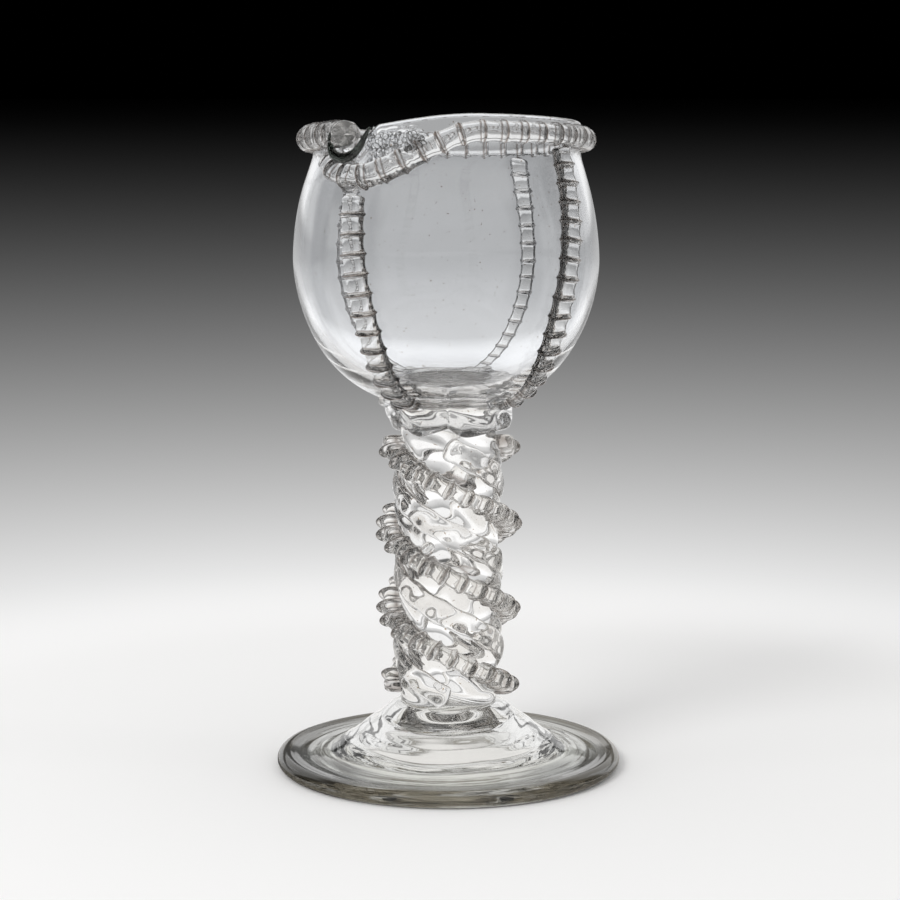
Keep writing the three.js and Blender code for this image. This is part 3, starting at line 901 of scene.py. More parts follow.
# %% Foot
ROLL_RADIUS = 3.4 * MM
ROLL_HALF_HEIGHT = 3.3 * MM
REST_WIDTH = 5 * MM
CROWN_THICKNESS = 10 * MM
PAD_RADIUS = STEM_RADIUS + 0.8 * MM


def foot_outline():
    """From the crown of the hollow, round the rolled edge, to the pad under the stem."""
    rest_outer = FOOT_RADIUS - ROLL_RADIUS
    rest_inner = rest_outer - REST_WIDTH
    crown = FOOT_HEIGHT - CROWN_THICKNESS
    hollow_controls = (
        (10.4 * MM, crown),
        (STEM_RADIUS + 7 * MM, crown),
        (30 * MM, 2.5 * MM),
        (rest_inner, 0),
    )
    hollow = bezier(hollow_controls, 28)
    roll = arc((rest_outer, ROLL_HALF_HEIGHT), ROLL_RADIUS, ROLL_HALF_HEIGHT, -90, 128, 26)
    brim_end = (46 * MM, 6.9 * MM)
    brim = bezier((roll[-1], (57 * MM, 4.6 * MM), (51 * MM, 5.6 * MM), brim_end), 16)
    pad_edge = (PAD_RADIUS, FOOT_HEIGHT)
    slope = bezier((brim_end, (40.5 * MM, 8.6 * MM), (32 * MM, 17.5 * MM), pad_edge), 28)
    scar = [
        (0, crown - 0.6 * MM),
        (5.2 * MM, crown - 0.7 * MM),
        (6.6 * MM, crown - 1.5 * MM),
        (8 * MM, crown - 1.6 * MM),
        (9.2 * MM, crown - 1.2 * MM),
    ]
    return scar + hollow + roll + brim[1:] + slope[1:] + [(0, FOOT_HEIGHT)]


def foot_point(azimuth, radius, height):
    """Tool rings and slow waves on the foot; the ring that it stands on stays flat."""
    wander = 0.5 * math.sin(2 * azimuth + 1) + 0.3 * math.sin(5 * azimuth)
    rings = math.sin(radius / (0.62 * MM) + wander) * 0.07
    rings += math.sin(radius / (1.5 * MM) + wander) * 0.22 + math.sin(radius / (2.7 * MM)) * 0.22
    waves = math.sin(3 * azimuth + radius / (9 * MM)) * 0.16
    waves += math.sin(7 * azimuth - radius / (6 * MM)) * 0.06
    lift = smooth_step(height, 0.3 * MM, 5 * MM) * (1 - smooth_step(height, 23 * MM, FOOT_HEIGHT))
    inner = smooth_step(radius, 12 * MM, 20 * MM)
    return polar(azimuth, radius, height + (rings + waves) * MM * lift * inner)


foot = turned_piece("cup_foot", foot_outline(), 240, foot_point)

# %% [markdown]
# ## Stem
# The stem is a solid column of glass, wound with trails. It works as a lens, so the trails on
# its far side show as big soft patches, which a tube would not give. Between the trails the
# column swells a little, because they chilled it in lines while it was still soft. The swell
# comes from sines that wind as the trails do, so it keeps its place between them.

# %% Stem sizes
SPIRAL_LEAD = 64 * MM
SPIRAL_TOP = 126.3 * MM
SPIRAL_A = math.radians(-90)
SPIRAL_B = math.radians(83)
SMOOTH_A = math.radians(-4)
SMOOTH_B = math.radians(176)
SWELL = 1.6 * MM
STEM_INSET = 0.8 * MM
print("stem trails turn", round((SPIRAL_TOP - FOOT_HEIGHT) / SPIRAL_LEAD, 2), "times")


# %% Stem
STEM_STEPS = 120
LET_INTO_FOOT = 0.5 * MM
LET_INTO_BOWL = 0.4 * MM
TOP_RADII = (0.75 * STEM_RADIUS, 0.5 * STEM_RADIUS, 0)


def stem_outline():
    """Up the outside of the column, with its ends let into the foot and the bowl."""
    low = FOOT_HEIGHT - LET_INTO_FOOT
    rise = underside(STEM_RADIUS) + LET_INTO_BOWL - low
    sides = [(STEM_RADIUS, low + rise * i / STEM_STEPS) for i in range(STEM_STEPS + 1)]
    top = [(radius, underside(radius) + LET_INTO_BOWL) for radius in TOP_RADII]
    return [(0, low), *sides, *top]


def stem_point(azimuth, radius, height):
    """Swells the column between its trails."""
    turn = azimuth - SPIRAL_A + 2 * math.pi * (height - SPIRAL_TOP) / SPIRAL_LEAD
    swell = (1 - math.cos(4 * turn)) / 2
    swell += 0.3 * math.sin(2 * turn + height / (13 * MM)) + 0.25 * math.sin(height / (7 * MM))
    swell += 0.3 * math.sin(3 * azimuth + height / (9 * MM) + 2)
    ends = smooth_step(height, 25 * MM, 32 * MM) * (1 - smooth_step(height, 122 * MM, 133 * MM))
    outer = smooth_step(radius, STEM_RADIUS * 0.9, STEM_RADIUS)
    return polar(azimuth, radius + outer * (SWELL * swell * ends - STEM_INSET), height)


# %% [markdown]
# ## Collar
# Where the four bowl trails run together, the glass sags into a thick lobed ring under the bowl.
# It could be four melted ends of trails, joined by a remesh, which would lose their clean
# surface. A turned ring with lobes is one smooth skin, and drops hang from it where trails end.

# %% Collar
COLLAR_WIDTH = 5.4 * MM
COLLAR_SEAT = 0.8 * MM
SEAT_STEPS = 8
LOBE_OUT = 2.2 * MM
LOBE_DOWN = 4 * MM


def collar_outline():
    """A closed outline of the ring's section."""
    inner = STEM_RADIUS - 0.6 * MM
    low = COLLAR_BOTTOM + 1 * MM
    controls = (
        (inner, low),
        (inner + 3.6 * MM, low + 0.4 * MM),
        (inner + 4.6 * MM, low + 4 * MM),
        (inner + COLLAR_WIDTH, underside(inner + COLLAR_WIDTH) + 0.5 * MM),
    )
    seat = [inner + COLLAR_WIDTH * (1 - i / SEAT_STEPS) for i in range(1, SEAT_STEPS + 1)]
    seated = [(radius, underside(radius) + COLLAR_SEAT) for radius in seat]
    return bezier(controls, 20) + seated


def collar_point(azimuth, radius, height):
    """Lets the ring hang in lobes, which meet at the front in a fold."""
    lobe = abs(math.sin(3 * azimuth)) - 0.6 + 0.2 * math.cos(azimuth - 1)
    lobe += 0.16 * math.sin(7 * azimuth + height / (1.3 * MM))
    low = 1 - smooth_step(height, COLLAR_BOTTOM + 2 * MM, BOWL_BOTTOM + 1 * MM)
    out = smooth_step(radius, STEM_RADIUS, STEM_RADIUS + 4 * MM)
    return polar(azimuth, radius + LOBE_OUT * lobe * out, height - LOBE_DOWN * lobe * low)


stem = turned_piece("cup_stem", stem_outline(), 180, stem_point)
collar = turned_piece("cup_collar", collar_outline(), 160, collar_point, closed=True)


# %% Drops of glass on the stem and at the ends of the bowl's trails
# Each bead is its azimuth in degrees, its distance from the axis and its radius in millimetres.
BEADS = (
    (-72, 25.0, 2.6),
    (-52, 24.0, 3.0),
    (-33, 23.6, 2.2),
    (42, 23.8, 2.3),
    (60, 24.4, 3.1),
    (80, 24.8, 2.4),
    (140, 24.4, 2.8),
    (158, 23.8, 2.2),
    (-122, 24.4, 2.4),
    (-140, 24.0, 2.9),
)
BEAD_HANG = 0.3 * MM
DROP_PLACE = Vector((-7.6, -20.4, 88)) * MM
DROP_RADIUS = 2.6 * MM

beads = []
for azimuth, radius, size in BEADS:
    level = underside(radius * MM) - BEAD_HANG
    centre = Vector(polar(math.radians(azimuth), radius * MM, level))
    beads.append(spindle(centre, Vector((0, 0, size * MM)), size * MM))
add_rods(collar, beads, 24)
add_rods(stem, [spindle(DROP_PLACE, Vector((0, 0, DROP_RADIUS)), DROP_RADIUS)], 28)

# %% [markdown]
# ## Glass
# All of it is one clear soda glass, fire polished, with a slow ripple, and with specks of ash
# from the furnace. Thin walls look colourless and thick glass is faintly grey. A volume that
# absorbs light would do that, but it renders slowly, so the thick places are tinted. Painted
# shade darkens the lip's roll, the foot's edge and lines at the trails' ribs and edges, where
# refraction shows dark surroundings.

# %% Tinges of the glass and its painted shade
ASH = (0.16, 0.09, 0.04, 1)
ASH_GRAIN = 900
# Painted shade for the dark lines that refraction shows at a trail's ribs and edges.
RIB_PAINTED_SHADE = (0.12, 0.082, 0.06, 1)
# Painted shade that makes the lip's thick roll look nearly black.
LIP_PAINTED_SHADE = (0.07, 0.08, 0.07, 1)
# Greyer at the foot's edge: partly the grey of thick glass, partly painted shade.
BRIM_GREY_AND_SHADE = (0.70, 0.715, 0.685, 1)
# Painted shade for the dark streaks and the nearly black roll of the foot.
STREAK_PAINTED_SHADE = (0.17, 0.16, 0.135, 1)
ROLL_PAINTED_SHADE = (0.115, 0.098, 0.066, 1)
# The painted dark streaks are fine across the foot and long round it. Their noise is drawn out
# by a number for each metre outwards, for the sine of the way round, and for each metre to the
# right. Each zone of the foot begins at one radius and is full at the other.
STREAKS_OUT = 750
STREAKS_ROUND = 1.6
STREAKS_ASIDE = 34
STREAK_ZONE = (FOOT_RADIUS - 27 * MM, FOOT_RADIUS - 17 * MM)
BRIM_ZONE = (FOOT_RADIUS - 27 * MM, FOOT_RADIUS - 20 * MM)
ROLL_ZONE = (FOOT_RADIUS - 12 * MM, FOOT_RADIUS - 3 * MM)


def ash_specks(graph, colour, share):
    """Small dark specks; more of them with a larger share."""
    mask = graph.noise(graph.place(), ASH_GRAIN, 1).step_between(1 - share, 1 - share + 0.05)
    return graph.blend(mask, colour, ASH)


def painted_rib_shade(graph, colour):
    """Painted shade for the dark lines at the ribs and edges of a trail, which its tree marks."""
    return graph.blend(graph.mark("rib"), colour, RIB_PAINTED_SHADE)


def painted_lip_shade(graph, colour):
    """Painted shade on the thick roll of the lip, which looks nearly black."""
    return graph.blend(graph.mark("thick"), colour, LIP_PAINTED_SHADE)


def foot_grey_and_shade(graph, colour):
    """Grey glass and painted shade at the foot's edge, dark in the roll and in streaks along its
    rings.
    """
    split = graph.parts(graph.place())
    out = graph.vector("LENGTH", graph.vector("MULTIPLY", graph.place(), (1, 1, 0)))
    round_it = split["Y"].maths("ARCTAN2", split["X"]).maths("SINE")
    stretched = (out * STREAKS_OUT, round_it * STREAKS_ROUND, split["X"] * STREAKS_ASIDE)
    drawn = graph.add("ShaderNodeCombineXYZ", None, *stretched)["Vector"]
    streak = graph.noise(drawn, 1, 5).step_between(0.52, 0.6) * out.step_between(*STREAK_ZONE)
    roll = out.step_between(*ROLL_ZONE)
    colour = graph.blend(out.step_between(*BRIM_ZONE), colour, BRIM_GREY_AND_SHADE)
    colour = graph.blend(streak * (1 - roll), colour, STREAK_PAINTED_SHADE)
    return graph.blend(roll * (1 - streak * 0.55), colour, ROLL_PAINTED_SHADE)


# %% Films on the glass
STAIN_DARK = (0.26, 0.23, 0.20, 1)
STAIN_PALE = (0.80, 0.77, 0.73, 1)
STAIN_STRETCH = (1, 2.6, 4)
STAIN_GRAIN = 150
STAIN_CONTRAST = 1.9
STAIN_COVER = 0.7
MILK = (0.93, 0.92, 0.90, 1)
MILKINESS = 0.26


def stain(graph, clear):
    """Lays the dried, scoured film over the clear glass where the mesh is marked."""
    stretched = graph.vector("MULTIPLY", graph.place(), STAIN_STRETCH)
    grain = graph.noise(stretched, STAIN_GRAIN, 6, 0.7)
    tone = graph.blend(grain.step_between(0.3, 0.7), STAIN_DARK, STAIN_PALE)
    film = graph.add("ShaderNodeBsdfPrincipled", None, Base_Color=tone, Roughness=0.65)
    cover = graph.mark("stain") * ((grain - 0.5) * STAIN_CONTRAST + 0.5)
    return graph.layered(cover.at_least(0).at_most(STAIN_COVER), clear, film["BSDF"])


def clouded(graph, clear):
    """Makes the marked lumps a little milky, as glass is that a cold tool crazed."""
    milk = graph.add("ShaderNodeBsdfDiffuse", None, MILK)["BSDF"]
    return graph.layered(graph.mark("milky") * MILKINESS, clear, milk)


# %% Glass of each kind
MOTTLING = 0.95
GLASS_IOR = 1.5


def glass(name, tint, ripple, ripple_scale, tint_and_shade, specks=0, films=()):
    """Clear glass with a slow ripple, a tint and painted shade from a rule, and the films over it.
    """
    material = bpy.data.materials.new(name)
    material.use_nodes = True
    material.node_tree.nodes.clear()
    graph = Graph(material.node_tree)
    slow = graph.noise(graph.place(), ripple_scale)
    bump = graph.add("ShaderNodeBump", None, Strength=ripple, Distance=1 * MM, Height=slow)
    colour = graph.blend(slow, (*tint, 1), (*(part * MOTTLING for part in tint), 1))
    if specks:
        colour = ash_specks(graph, colour, specks)
    body = graph.add(
        "ShaderNodeBsdfPrincipled",
        None,
        Base_Color=tint_and_shade(graph, colour),
        Roughness=0.0,
        IOR=GLASS_IOR,
        Transmission_Weight=1.0,
        Normal=bump["Normal"],
    )
    surface = body["BSDF"]
    for film in films:
        surface = film(graph, surface)
    graph.add("ShaderNodeOutputMaterial", None, surface)
    print(name, "has", len(graph.tree.nodes), "nodes")
    return material


bowl_glass = glass("bowl_glass", (0.955, 0.965, 0.98), 0.02, 60, painted_lip_shade, 0.24, (stain, clouded))
stem_glass = glass("stem_glass", (0.995, 0.992, 0.988), 0.03, 160, painted_rib_shade, 0.27, (clouded,))
trail_glass = glass("trail_glass", (0.985, 0.978, 0.965), 0.03, 260, painted_rib_shade, 0.25, (clouded,))
foot_glass = glass("foot_glass", (0.93, 0.93, 0.92), 0.03, 120, foot_grey_and_shade)
bowl.data.materials.append(bowl_glass)
stem.data.materials.append(stem_glass)
collar.data.materials.append(stem_glass)
foot.data.materials.append(foot_glass)

# %% [markdown]
# ## Trails
# A pincered trail is a thread of hot glass that was laid on the wall and nipped with pincers at
# even steps, so it is a row of sharp ribs with hollow waists between them. An array of one rib
# along a curve would leave seams at each copy. So the tree takes a path and the trail's sizes,
# and wraps one grid round the path, with a row of the grid for each small step.

# %% Inputs of the tree
TRAIL_SIZES = (
    "Pinches",
    "Waist width",
    "Crest width",
    "Waist height",
    "Crest height",
    "Sharpness",
    "Sink",
    "Roundness",
    "Line depth",
    "Unevenness",
)


def trail_sockets(face):
    """Gives the tree its named inputs and its output."""
    face.new_socket("Path", in_out="INPUT", socket_type="NodeSocketGeometry")
    for label in TRAIL_SIZES:
        face.new_socket(label, in_out="INPUT", socket_type="NodeSocketFloat")
    for label in ("Rings", "Sides", "Seed"):
        face.new_socket(label, in_out="INPUT", socket_type="NodeSocketInt")
    face.new_socket("Glass", in_out="INPUT", socket_type="NodeSocketMaterial")
    face.new_socket("Trail", in_out="OUTPUT", socket_type="NodeSocketGeometry")


def sampled(graph, path, kind, label, along):
    """The path's place, direction and one attribute, at a share of its length."""
    named = graph.add("GeometryNodeInputNamedAttribute", {"data_type": kind}, label)
    settings = {"mode": "FACTOR", "data_type": kind, "use_all_curves": True}
    value = named["Attribute"]
    return graph.add("GeometryNodeSampleCurve", settings, Curves=path, Value=value, Factor=along)


# %% Rule of the ribs
CREST_SHARPNESS = 0.65
RIDGE_SHARPNESS = 0.85
DRIFT_STEP = 0.43
SEED_STEP = 7.3


def ribs(graph, given, phase):
    """The wave of the ribs, which is 1 at each; its sharp form; their width and their height."""
    unlike = given["Unevenness"]
    lot = graph.add(
        "FunctionNodeRandomValue",
        {"data_type": "FLOAT"},
        Min=1 - unlike,
        Max=1 + unlike,
        ID=phase.maths("ROUND"),
        Seed=given["Seed"],
    )["Value"]
    wave = (phase * math.pi).maths("COSINE").maths("ABSOLUTE")
    sharp = wave ** (given["Sharpness"] * 3)
    crest = sharp * CREST_SHARPNESS + wave**2 * (1 - CREST_SHARPNESS)
    ridge = sharp * RIDGE_SHARPNESS + wave**2 * (1 - RIDGE_SHARPNESS)
    return wave, sharp, crest * lot, ridge * lot


def thickness(graph, given, phase, girth):
    """The slow change of the trail's thickness along it."""
    place = phase * DRIFT_STEP + given["Seed"] * SEED_STEP
    drift = graph.add("ShaderNodeTexNoise", {"noise_dimensions": "1D"}, W=place, Scale=1.0)
    return girth * ((drift.first() - 0.5) * given["Unevenness"] + 1)


# %% Rule of the section
BELLY_SHARE = 0.25
BASE_WIDENING = 1.15
BASE_FLATNESS = 2.04
# The rib lines and edge lines below are painted shade.
RIB_LINE_FINENESS = 40
EDGE_LINE_SPAN = (-0.25, -0.05, 0.02, 0.22)
EDGE_LINE_DEPTH = 0.9


def section(given, around, sharp, half_width, tall, ends):
    """Where a point lies across and above the path: an arch on a flat base sunk in the wall."""
    cosine = around.maths("COSINE")
    sine = around.maths("SINE")
    bend = sharp * (1 - given["Roundness"]) + given["Roundness"]
    arch = cosine.maths("SIGN") * cosine.maths("ABSOLUTE") ** bend
    base = (cosine * BASE_WIDENING).at_most(1).at_least(-1)
    under = sine.maths("LESS_THAN", 0)
    belly = tall * BELLY_SHARE
    upper = sine.at_least(0) ** bend * (tall - belly)
    lower = (sine * BASE_FLATNESS).at_most(0).at_least(-1) * (belly + given["Sink"] * ends)
    return (arch + (base - arch) * under) * half_width, belly + upper + lower


def painted_shade_lines(given, around, wave):
    """Painted shade: 1 along the ribs and along both edges of the trail, and 0 elsewhere."""
    rib_line = wave**RIB_LINE_FINENESS * given["Sharpness"].step_between(2, 6)
    edge_line = around.maths("SINE").window(*EDGE_LINE_SPAN) * EDGE_LINE_DEPTH
    return rib_line.at_least(edge_line) * given["Line depth"]


# %% The tree that makes a trail
RING_CROWDING = 0.65
END_STEEPNESS = 4
END_GAP = 0.0005
WELD = 0.01 * MM


def trail_tree():
    """Builds the node tree of a trail; its rings crowd together at the ribs."""
    tree = bpy.data.node_groups.new("nipped_trail", "GeometryNodeTree")
    trail_sockets(tree.interface)
    graph = Graph(tree)
    given = graph.add("NodeGroupInput")
    path = graph.add("GeometryNodeMeshToCurve", None, given["Path"])["Curve"]
    counts = (given["Rings"], given["Sides"])
    grid = graph.add("GeometryNodeMeshGrid", None, 1.0, 1.0, *counts)["Mesh"]
    spot = graph.parts(graph.add("GeometryNodeInputPosition")["Position"])
    even = (spot["X"] + 0.5) * given["Pinches"]
    crowding = (even * (2 * math.pi)).maths("SINE") * (RING_CROWDING / (2 * math.pi))
    phase = even - crowding
    along = phase / given["Pinches"]
    around = (spot["Y"] + 0.5) * (-2 * math.pi)

    line = sampled(graph, path, "FLOAT", "girth", along)
    away = sampled(graph, path, "FLOAT_VECTOR", "outward", along)["Value"]
    side = graph.vector("NORMALIZE", graph.vector("CROSS_PRODUCT", away, line["Tangent"]))
    out = graph.vector("CROSS_PRODUCT", line["Tangent"], side)

    wave, sharp, crest, ridge = ribs(graph, given, phase)
    to_end = (along.at_most(1 - along) * given["Pinches"] - END_GAP).at_least(0)
    ends = (1 - (1 - (to_end * END_STEEPNESS).at_most(1)) ** 2) ** 0.5
    size = thickness(graph, given, phase, line["Value"])
    width = given["Waist width"] + (given["Crest width"] - given["Waist width"]) * crest
    tall = given["Waist height"] + (given["Crest height"] - given["Waist height"]) * ridge
    half_width = width * 0.5 * size * ends
    across, above = section(given, around, sharp, half_width, tall * size * ends, ends)
    moved = graph.vector("ADD", line["Position"], graph.stretched(side, across))
    moved = graph.vector("ADD", moved, graph.stretched(out, above))

    # The mark rib holds where the lines of painted shade lie.
    lines = painted_shade_lines(given, around, wave)
    settings = {"data_type": "FLOAT"}
    mesh = graph.add("GeometryNodeStoreNamedAttribute", settings, grid, True, "rib", lines).first()
    mesh = graph.add("GeometryNodeSetPosition", None, Geometry=mesh, Position=moved).first()
    mesh = graph.add("GeometryNodeMergeByDistance", None, Geometry=mesh, Distance=WELD).first()
    mesh = graph.add("GeometryNodeSetShadeSmooth", None, Geometry=mesh).first()
    mesh = graph.add("GeometryNodeRealizeInstances", None, Geometry=mesh).first()
    clear = given["Glass"]
    mesh = graph.add("GeometryNodeSetMaterial", None, Geometry=mesh, Material=clear).first()
    graph.add("NodeGroupOutput", None, mesh)
    print("trail tree has", len(tree.nodes), "nodes")
    return tree


nipped_trail = trail_tree()


# %% Laying a trail on a path
RINGS_PER_PINCH = 18
TRAIL_SIDES = 41
TRAIL_UNEVENNESS = 0.12


def guide_object(name, path, outward, girths):
    """A line of points that the tree can follow, with the trail's girth and its way out."""
    edges = [(i, i + 1) for i in range(len(path) - 1)]
    guide = bpy.data.meshes.new(name + "_path")
    guide.from_pydata(path, edges, [])
    mark(guide, "girth", girths or [1.0] * len(path))
    ways_out = outward or [(x, y, 0) for x, y, _ in path]
    out = guide.attributes.new("outward", "FLOAT_VECTOR", "POINT")
    out.data.foreach_set("vector", [number for way in ways_out for number in way])
    holder = bpy.data.objects.new(name + "_path", guide)
    bpy.context.scene.collection.objects.link(holder)
    return holder


def lay_trail(
    name,
    path,
    clear,
    seed,
    pitch,
    waist,
    crest,
    sharpness,
    sink,
    roundness=0.6,
    line_depth=1.0,
    outward=None,
    girths=None,
):
    """Runs the tree on a path and keeps the result as a plain mesh."""
    holder = guide_object(name, path, outward, girths)
    length = sum(math.dist(a, b) for a, b in zip(path, path[1:]))
    pinches = round(length / pitch)
    sizes = {
        "Pinches": float(pinches),
        "Waist width": waist[0],
        "Waist height": waist[1],
        "Crest width": crest[0],
        "Crest height": crest[1],
        "Sharpness": float(sharpness),
        "Sink": sink,
        "Roundness": roundness,
        "Line depth": line_depth,
        "Unevenness": TRAIL_UNEVENNESS,
        "Rings": pinches * RINGS_PER_PINCH + 1,
        "Sides": TRAIL_SIDES,
        "Seed": seed,
        "Glass": clear,
    }
    modifier = holder.modifiers.new("trail", "NODES")
    modifier.node_group = nipped_trail
    for item in nipped_trail.interface.items_tree:
        if item.item_type == "SOCKET" and item.name in sizes:
            modifier[item.identifier] = sizes[item.name]
    evaluated = holder.evaluated_get(bpy.context.evaluated_depsgraph_get())
    mesh = bpy.data.meshes.new_from_object(evaluated)
    mesh.name = name
    piece = bpy.data.objects.new(name, mesh)
    bpy.context.scene.collection.objects.link(piece)
    bpy.data.objects.remove(holder)
    print(name, "is", round(length / MM), "mm long and has", len(mesh.polygons), "faces")
    return piece


# %% [markdown]
# ## Trail round the neck
# One nipped trail runs round the neck from the channel's left edge, and its other end swings down
# and passes under the channel. A ring would miss both ends, so its path is a line of places: at
# first level with the tilted mouth, and then on the wall itself, where the wall's rule finds them.

# %% Path round the neck
RIM_START = -41.5
RIM_TURN = 374.5
RIM_STEPS = 320
END_LIFT = 3.2 * MM
START_SWELL = 0.14
DIP_SWELL = 0.12


def rim_path():
    """From the channel's left edge once round the neck, and down under the channel."""
    path = []
    outward = []
    girths = []
    for i in range(RIM_STEPS + 1):
        travelled = RIM_TURN * i / RIM_STEPS
        azimuth = math.radians(RIM_START - travelled)
        level = RIM_TRAIL_HEIGHT + mouth_rise(azimuth)
        dip = 0
        if travelled < 180:
            lift = END_LIFT * (1 - smooth_step(travelled, 0, 16))
            place = polar(azimuth, NECK_RADIUS + lift, level)
            out = polar(azimuth, 1, 0)
        else:
            dip = trail_dip(azimuth)
            place = wall_at(azimuth, level - dip)
            out = outward_at(azimuth, level - dip)
        path.append(leaned(place))
        outward.append(out)
        swell = START_SWELL * (1 - smooth_step(travelled, 20, 70))
        girths.append(1 + swell + DIP_SWELL * dip / DIP_DEPTH)
    return path, outward, girths


rim, rim_outward, rim_girths = rim_path()
rim_trail = lay_trail(
    "cup_rim_trail",
    rim,
    trail_glass,
    seed=3,
    pitch=7.6 * MM,
    waist=(7.2 * MM, 4.9 * MM),
    crest=(8.8 * MM, 6.0 * MM),
    sharpness=9,
    sink=1.0 * MM,
    outward=rim_outward,
    girths=rim_girths,
)

# %% Round end of the trail
# Each station is its X, its Y and the end's radius, in millimetres.
ROUND_END = ((-33.2, -40.5, 2.5), (-34.6, -42, 4.0), (-36.4, -43.6, 4.6), (-37.2, -45, 4.7))
CAP_PLACE = (-37.3, -45.2)
CAP_RADIUS = 4.7
CAP_REACH = 3.2
CAP_STEPS = 8


def round_end():
    """A round end that turns out of the wall towards the front, over the rolled lip."""
    level = RIM_TRAIL_HEIGHT + mouth_rise(math.radians(-47)) + 0.2 * MM
    line = [(Vector((x * MM, y * MM, level)), size * MM) for x, y, size in ROUND_END]
    for i in range(1, CAP_STEPS + 1):
        turn = math.pi / 2 * i / (CAP_STEPS + 0.3)
        front = CAP_PLACE[1] - CAP_REACH * math.sin(turn)
        tip = Vector((CAP_PLACE[0] * MM, front * MM, level))
        line.append((tip, CAP_RADIUS * MM * math.cos(turn)))
    return line


trail_points = len(rim_trail.data.vertices)
add_rods(rim_trail, [round_end()], 32)
count = len(rim_trail.data.vertices)
mark(rim_trail.data, "milky", [0.4 if k >= trail_points else 0.0 for k in range(count)])

# %% [markdown]
# ## Trails down the bowl
# Four trails run down the bowl, from under the rim trail to the collar. Each has its own course,
# read at four heights, because they were laid by eye and are not quite even. The two at the back
# are thinner and fainter, as they show through the bowl.

# %% Trails down the bowl
# The azimuths of each trail, in degrees, at the course heights, in millimetres.
COURSE_HEIGHTS = (235.3, 197, 168.4, 139.7)
BOWL_TRAIL_COURSES = {
    "bowl_trail_front_left": (-36.4, -34.6, -31.6, -34.5),
    "bowl_trail_front_right": (54.5, 50.2, 48.8, 59.0),
    "bowl_trail_back_right": (144.5, 144.5, 144.5, 149.0),
    "bowl_trail_back_left": (-135.0, -134.0, -132.5, -130.5),
}
BACK_THINNING = 0.24
# The back trails get fainter lines of painted shade.
BACK_LINE_DEPTH = 0.55
BELOW_RIM_TRAIL = 4.4 * MM


def course_azimuth(course, height):
    """The azimuth at a height of the one smooth curve through a course's azimuths."""
    total = 0
    for azimuth, own in zip(course, COURSE_HEIGHTS):
        weight = 1
        for other in COURSE_HEIGHTS:
            if other != own:
                weight *= (height / MM - other) / (own - other)
        total += azimuth * weight
    return math.radians(total)


def bowl_path(course):
    """Down the outside of the bowl, from under the rim trail to the collar."""
    top = RIM_TRAIL_HEIGHT - trail_dip(math.radians(course[0])) - BELOW_RIM_TRAIL
    path = []
    for radius, height in reversed(OUTER_WALL):
        if height <= top and (height > WIDEST_HEIGHT or radius > STEM_RADIUS + 4 * MM):
            path.append(bowl_point(course_azimuth(course, height), radius, height))
    return path


bowl_trails = {}
for number, (node, course) in enumerate(BOWL_TRAIL_COURSES.items()):
    course_path = bowl_path(course)
    steps = len(course_path)
    at_back = "back" in node
    thinning = BACK_THINNING if at_back else 0
    bowl_trails[node] = lay_trail(
        "cup_" + node,
        course_path,
        trail_glass,
        seed=11 + number,
        pitch=7 * MM,
        waist=(8.4 * MM, 2.4 * MM),
        crest=(10.8 * MM, 4.4 * MM),
        sharpness=10,
        sink=0.9 * MM,
        roundness=0.8 if node == "bowl_trail_front_left" else 0.46,
        line_depth=BACK_LINE_DEPTH if at_back else 1.0,
        girths=[1 - thinning * (0.4 + 1.6 * i / steps) for i in range(steps)],
    )

# %% [markdown]
# ## Trails wound down the stem
# Two nipped trails and two smooth ones wind down the stem, left-handed. A Screw modifier would
# turn a plain round tube. The same tree makes them on a helix, and a smooth trail is one with
# long, faint swells in place of ribs.

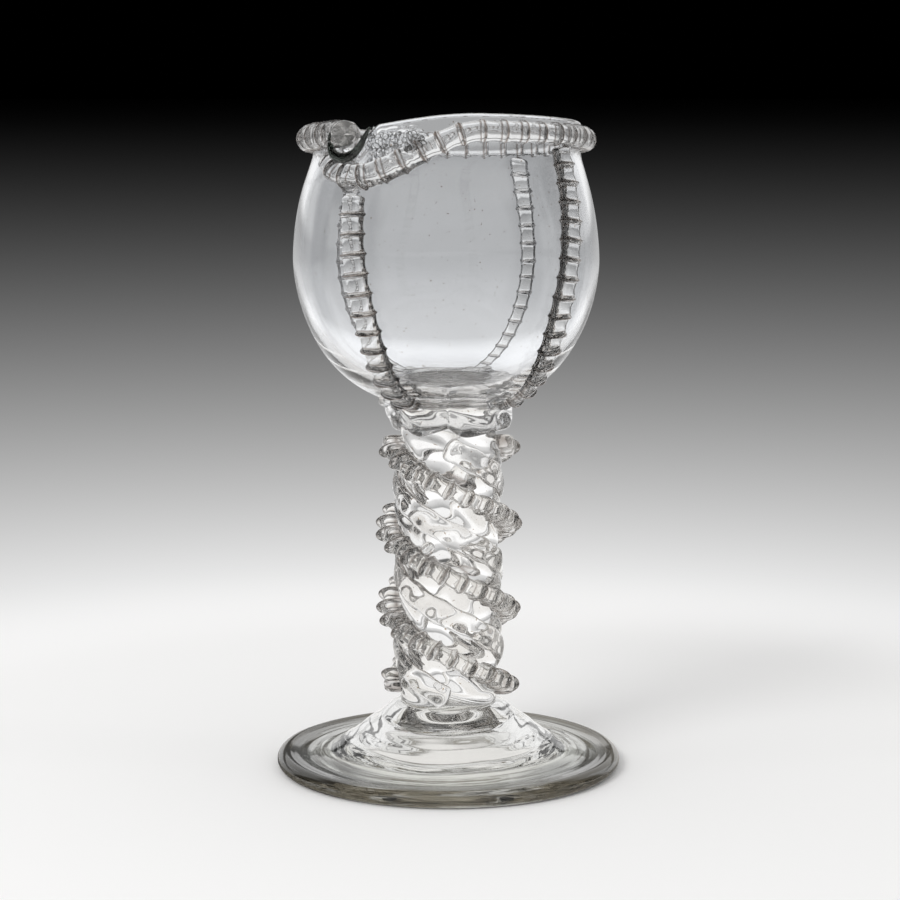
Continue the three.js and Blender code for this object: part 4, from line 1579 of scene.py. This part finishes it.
# %% Trails wound down the stem
SPIRAL_STEPS = 300
SPIRAL_SINK = 2 * MM
NIPPED = {
    "clear": trail_glass,
    "pitch": 6.8 * MM,
    "waist": (6.0 * MM, 6.2 * MM),
    "crest": (8.2 * MM, 9.2 * MM),
    "sharpness": 7,
    "line_depth": 0.85,
}
SMOOTH = {
    "clear": stem_glass,
    "pitch": 12 * MM,
    "waist": (8.6 * MM, 1.9 * MM),
    "crest": (9.8 * MM, 2.7 * MM),
    "sharpness": 1,
}
STEM_TRAILS = (
    ("pincered_spiral_a", SPIRAL_A, 31, NIPPED),
    ("pincered_spiral_b", SPIRAL_B, 32, NIPPED),
    ("smooth_spiral_a", SMOOTH_A, 41, SMOOTH),
    ("smooth_spiral_b", SMOOTH_B, 42, SMOOTH),
)


def spiral_path(start):
    """A left-handed spiral down the stem, from the collar to the foot."""
    end = FOOT_HEIGHT + 4.5 * MM
    turned = (SPIRAL_TOP - end) / SPIRAL_LEAD * 2 * math.pi
    path = []
    for i in range(SPIRAL_STEPS + 1):
        angle = turned * i / SPIRAL_STEPS
        height = SPIRAL_TOP - SPIRAL_LEAD * angle / (2 * math.pi)
        path.append(polar(start + angle, STEM_RADIUS - 0.3 * MM, height))
    return path


spirals = {}
for node, start, seed, kind in STEM_TRAILS:
    path = spiral_path(start)
    spirals[node] = lay_trail("cup_" + node, path, seed=seed, sink=SPIRAL_SINK, **kind)

# %% [markdown]
# ## Putting the pieces on the frame
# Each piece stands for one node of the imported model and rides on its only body. Joining them
# would be simpler, but then no piece could be found, swapped or given another finish.


# %% Pieces on the frame
def settle(piece, node):
    """Lets a piece stand for its node."""
    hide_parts(node)
    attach(piece, "root")
    print(piece.name, "stands for", node)


settle(foot, "foot")
settle(stem, "stem_core")
settle(collar, "stem_collar")
settle(bowl, "bowl")
settle(rim_trail, "rim_trail")
for node, piece in bowl_trails.items():
    settle(piece, node)
for node, piece in spirals.items():
    settle(piece, node)

# %% [markdown]
# ## Look of the render
# Light that has passed the front wall, the trails and the back wall has crossed many surfaces.
# With few bounces it ends in black patches, so more bounces are allowed than Blender's default.

# %% Look of the render
GLASS_BOUNCES = 24

scene = bpy.context.scene
scene.view_settings.view_transform = "Standard"
scene.cycles.max_bounces = GLASS_BOUNCES
scene.cycles.transmission_bounces = GLASS_BOUNCES
scene.cycles.glossy_bounces = GLASS_BOUNCES // 2
print("light may bounce", scene.cycles.max_bounces, "times")
